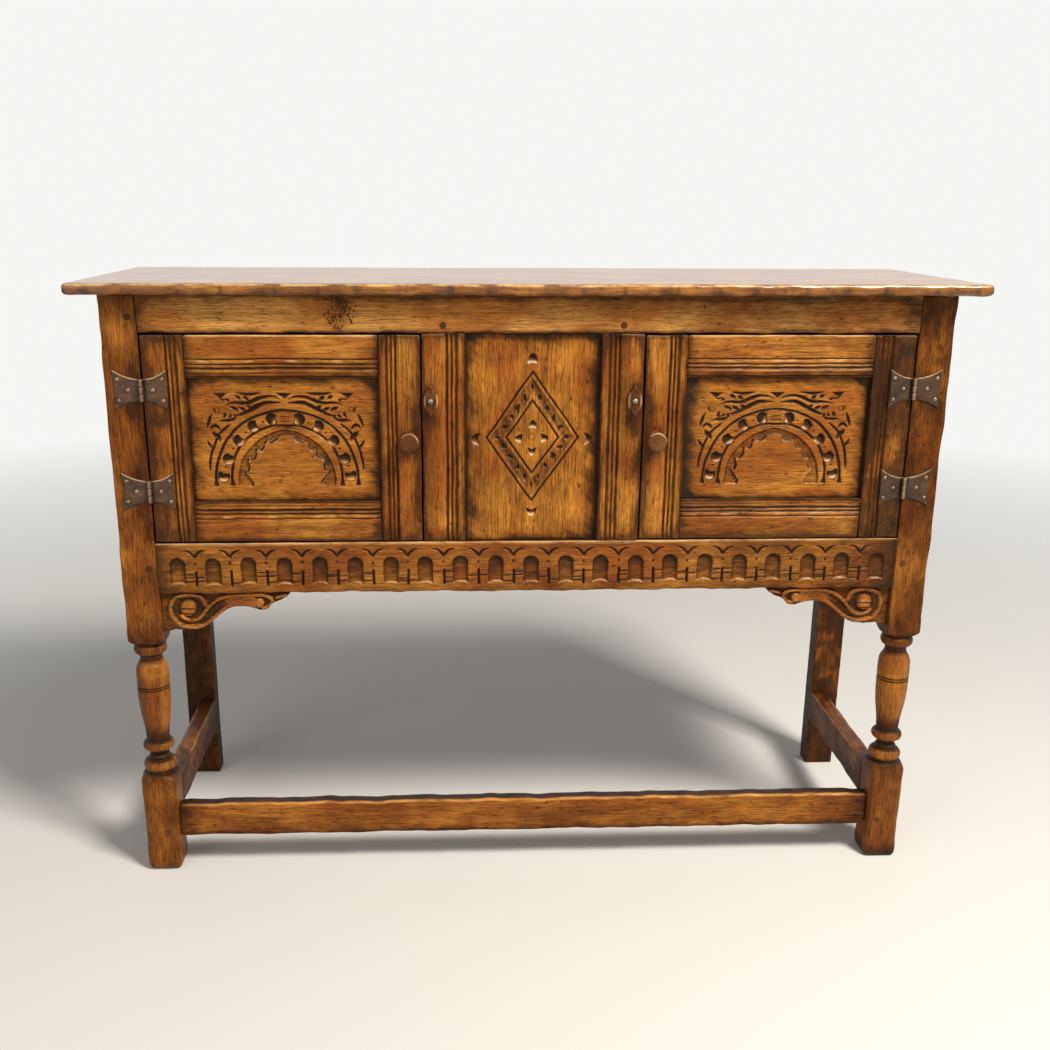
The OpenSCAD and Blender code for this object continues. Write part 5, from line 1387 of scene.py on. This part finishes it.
def makeButton(node, seed):
    low, high = nodeBox(node)
    centre = (low + high)/2
    halfLong, halfWide, thick = (high[2] - low[2])/2, (high[0] - low[0])/2, high[1] - low[1]
    radius = (halfLong**2 + halfWide**2)/(2*halfWide)
    swing = math.asin(halfLong/radius)
    turns = np.linspace(-swing, swing, 21)
    arc = [(radius*math.cos(turn) - radius + halfWide, radius*math.sin(turn)) for turn in turns]
    outline = arc[:-1] + [(-x, -z) for x, z in arc[:-1]]
    bm = bmesh.new()
    face = bm.faces.new([bm.verts.new((x, 0, z)) for x, z in outline])
    bmesh.ops.recalc_face_normals(bm, faces=bm.faces)
    outline.sort(key=lambda p: math.atan2(p[1], p[0]))
    top = [face]
    for grow, level in buttonShape["layers"]:
        made = bmesh.ops.extrude_face_region(bm, geom=top)["geom"]
        if top[0] is not face:
            bmesh.ops.delete(bm, geom=top, context="FACES_ONLY")
        top = facesOf(made)
        rim = sorted({v for f in top for v in f.verts}, key=lambda v: math.atan2(v.co.z, v.co.x))
        shrink = 1 - grow
        for vert, (x, z) in zip(rim, outline):
            vert.co = (x*(1 - shrink), -thick*level, z*(1 - shrink*buttonShape["endShare"]))
    bmesh.ops.inset_region(bm, faces=top, thickness=1.5, use_even_offset=True)
    rest = restOf(bm)
    x, y, z = rest.T
    points = rest + waver(rest, 0.25, seed, (40, 19, 11))
    # painted highlight on both curved sides; painted shade round the screw, where no recess is cut
    wearAndHighlight = clip01(2.2*np.abs(x)/halfWide - 1.1)*(y < -thick*0.5)
    patinaAndShade = np.clip(1.5 - np.hypot(x, z)/5, 0, 0.9)*(y < -thick*0.9)
    points += [centre[0], high[1], centre[2]]
    moveTo(bm, np.clip(points, low, high))
    finishPiece(bm, node + "_turned", node, turnedMaterial, grainOf(rest, "w", seed), wearAndHighlight, patinaAndShade)


for side, way in outward.items():
    makeKnob(side + "_door_knob", 220 + (way > 0))
    makeButton("turn_button_" + side, 230 + (way > 0))
print("knobs and turn buttons made")


# Finishes of the pieces that keep their plain shape

keptFinishes = [
    (innerOakMaterial, ("back_boards", "floor_boards", "floor_bearers", "door_stops")),
    (pegOakMaterial, ("frame_pegs",)),
    (nailMaterial, ("post_leaf_nails", "left_door_leaf_nails", "right_door_leaf_nails", "hinge_pins")),
    (screwMaterial, ("button_screws",))]
for material, nodes in keptFinishes:
    for node in nodes:
        mesh = frame["nodes"][node].data
        mesh.materials.clear()
        mesh.materials.append(material)
print("plain pieces finished")


# Camera, floor and light

view = {"place": (-0.1112, -1.7172, 0.9780), "yaw": 0.0443, "pitch": 0.2908, "roll": 0.0053,
        "focal": 1151.45, "middle": (501.32, 545.71), "picture": 1050, "sensor": 36}


def makeCamera():
    yaw, pitch, roll = view["yaw"], view["pitch"], view["roll"]
    ahead = Vector((math.sin(yaw)*math.cos(pitch), math.cos(yaw)*math.cos(pitch), -math.sin(pitch)))
    right = Vector((math.cos(yaw), -math.sin(yaw), 0))
    up = right.cross(ahead)
    tiltedRight = right*math.cos(roll) + up*math.sin(roll)
    tiltedUp = up*math.cos(roll) - right*math.sin(roll)
    data = bpy.data.cameras.new("camera")
    data.sensor_width = view["sensor"]
    data.lens = view["focal"]/view["picture"]*view["sensor"]
    data.shift_x = 0.5 - view["middle"][0]/view["picture"]
    data.shift_y = view["middle"][1]/view["picture"] - 0.5
    camera = bpy.data.objects.new("camera", data)
    turn = Matrix((tiltedRight, tiltedUp, -ahead)).transposed()
    camera.matrix_world = Matrix.Translation(view["place"]) @ turn.to_4x4()
    scene.collection.objects.link(camera)
    scene.camera = camera


def softLamp(name, place, aim, size, power, colour):
    data = bpy.data.lights.new(name, "AREA")
    data.shape = "RECTANGLE"
    data.size, data.size_y = size
    data.energy = power
    data.color = colour
    lamp = bpy.data.objects.new(name, data)
    lamp.location = place
    lamp.rotation_euler = (Vector(aim) - Vector(place)).to_track_quat("-Z", "Y").to_euler()
    scene.collection.objects.link(lamp)


def makeFloor():
    bm = bmesh.new()
    bmesh.ops.create_circle(bm, cap_ends=True, segments=64, radius=14)
    mesh = bpy.data.meshes.new("floor")
    bm.to_mesh(mesh)
    bm.free()
    floor = bpy.data.objects.new("floor", mesh)
    scene.collection.objects.link(floor)
    material, add = newMaterial("paleFloor")
    place = add("TexCoord", output=3)
    away = add("VectorMath", {0: place}, 1, operation="LENGTH")
    seen = sums(add, "MULTIPLY", spread(add, away, 1.1, 3.6), add("LightPath"))
    paint = add("BsdfPrincipled", {"Base Color": rgb(232, 226, 216), "Roughness": 0.8})
    glow = add("Emission", {0: (0.92, 0.92, 0.9, 1), 1: 1.0})
    add("OutputMaterial", {0: add("MixShader", {0: seen, 1: paint, 2: glow})})
    mesh.materials.append(material)


def makeWorld():
    world = bpy.data.worlds.new("paleRoom")
    world.use_nodes = True
    scene.world = world
    tree = world.node_tree
    tree.nodes.clear()
    path = tree.nodes.new("ShaderNodeLightPath")
    seen = path.outputs["Is Camera Ray"]
    for ray in ("Is Glossy Ray", "Is Transmission Ray"):
        both = tree.nodes.new("ShaderNodeMath")
        both.operation = "MAXIMUM"
        tree.links.new(seen, both.inputs[0])
        tree.links.new(path.outputs[ray], both.inputs[1])
        seen = both.outputs[0]
    ambient = tree.nodes.new("ShaderNodeBackground")
    ambient.inputs[0].default_value = (0.9, 0.94, 1, 1)
    ambient.inputs[1].default_value = 0.26
    white = tree.nodes.new("ShaderNodeBackground")
    blend = tree.nodes.new("ShaderNodeMixShader")
    white.inputs[0].default_value = (0.92, 0.92, 0.9, 1)
    tree.links.new(seen, blend.inputs[0])
    tree.links.new(ambient.outputs[0], blend.inputs[1])
    tree.links.new(white.outputs[0], blend.inputs[2])
    tree.links.new(blend.outputs[0], tree.nodes.new("ShaderNodeOutputWorld").inputs[0])


makeCamera()
makeFloor()
makeWorld()
softLamp("windowLight", (1.5, -1.7, 3.0), (0, 0, 0.5), (0.85, 0.85), 140, (1, 0.98, 0.94))
softLamp("roomLight", (-2.2, -2.4, 1.6), (0, 0, 0.5), (2.2, 2.2), 20, (1, 0.98, 0.96))
scene.view_settings.view_transform = "Standard"
print("camera, floor and light set")
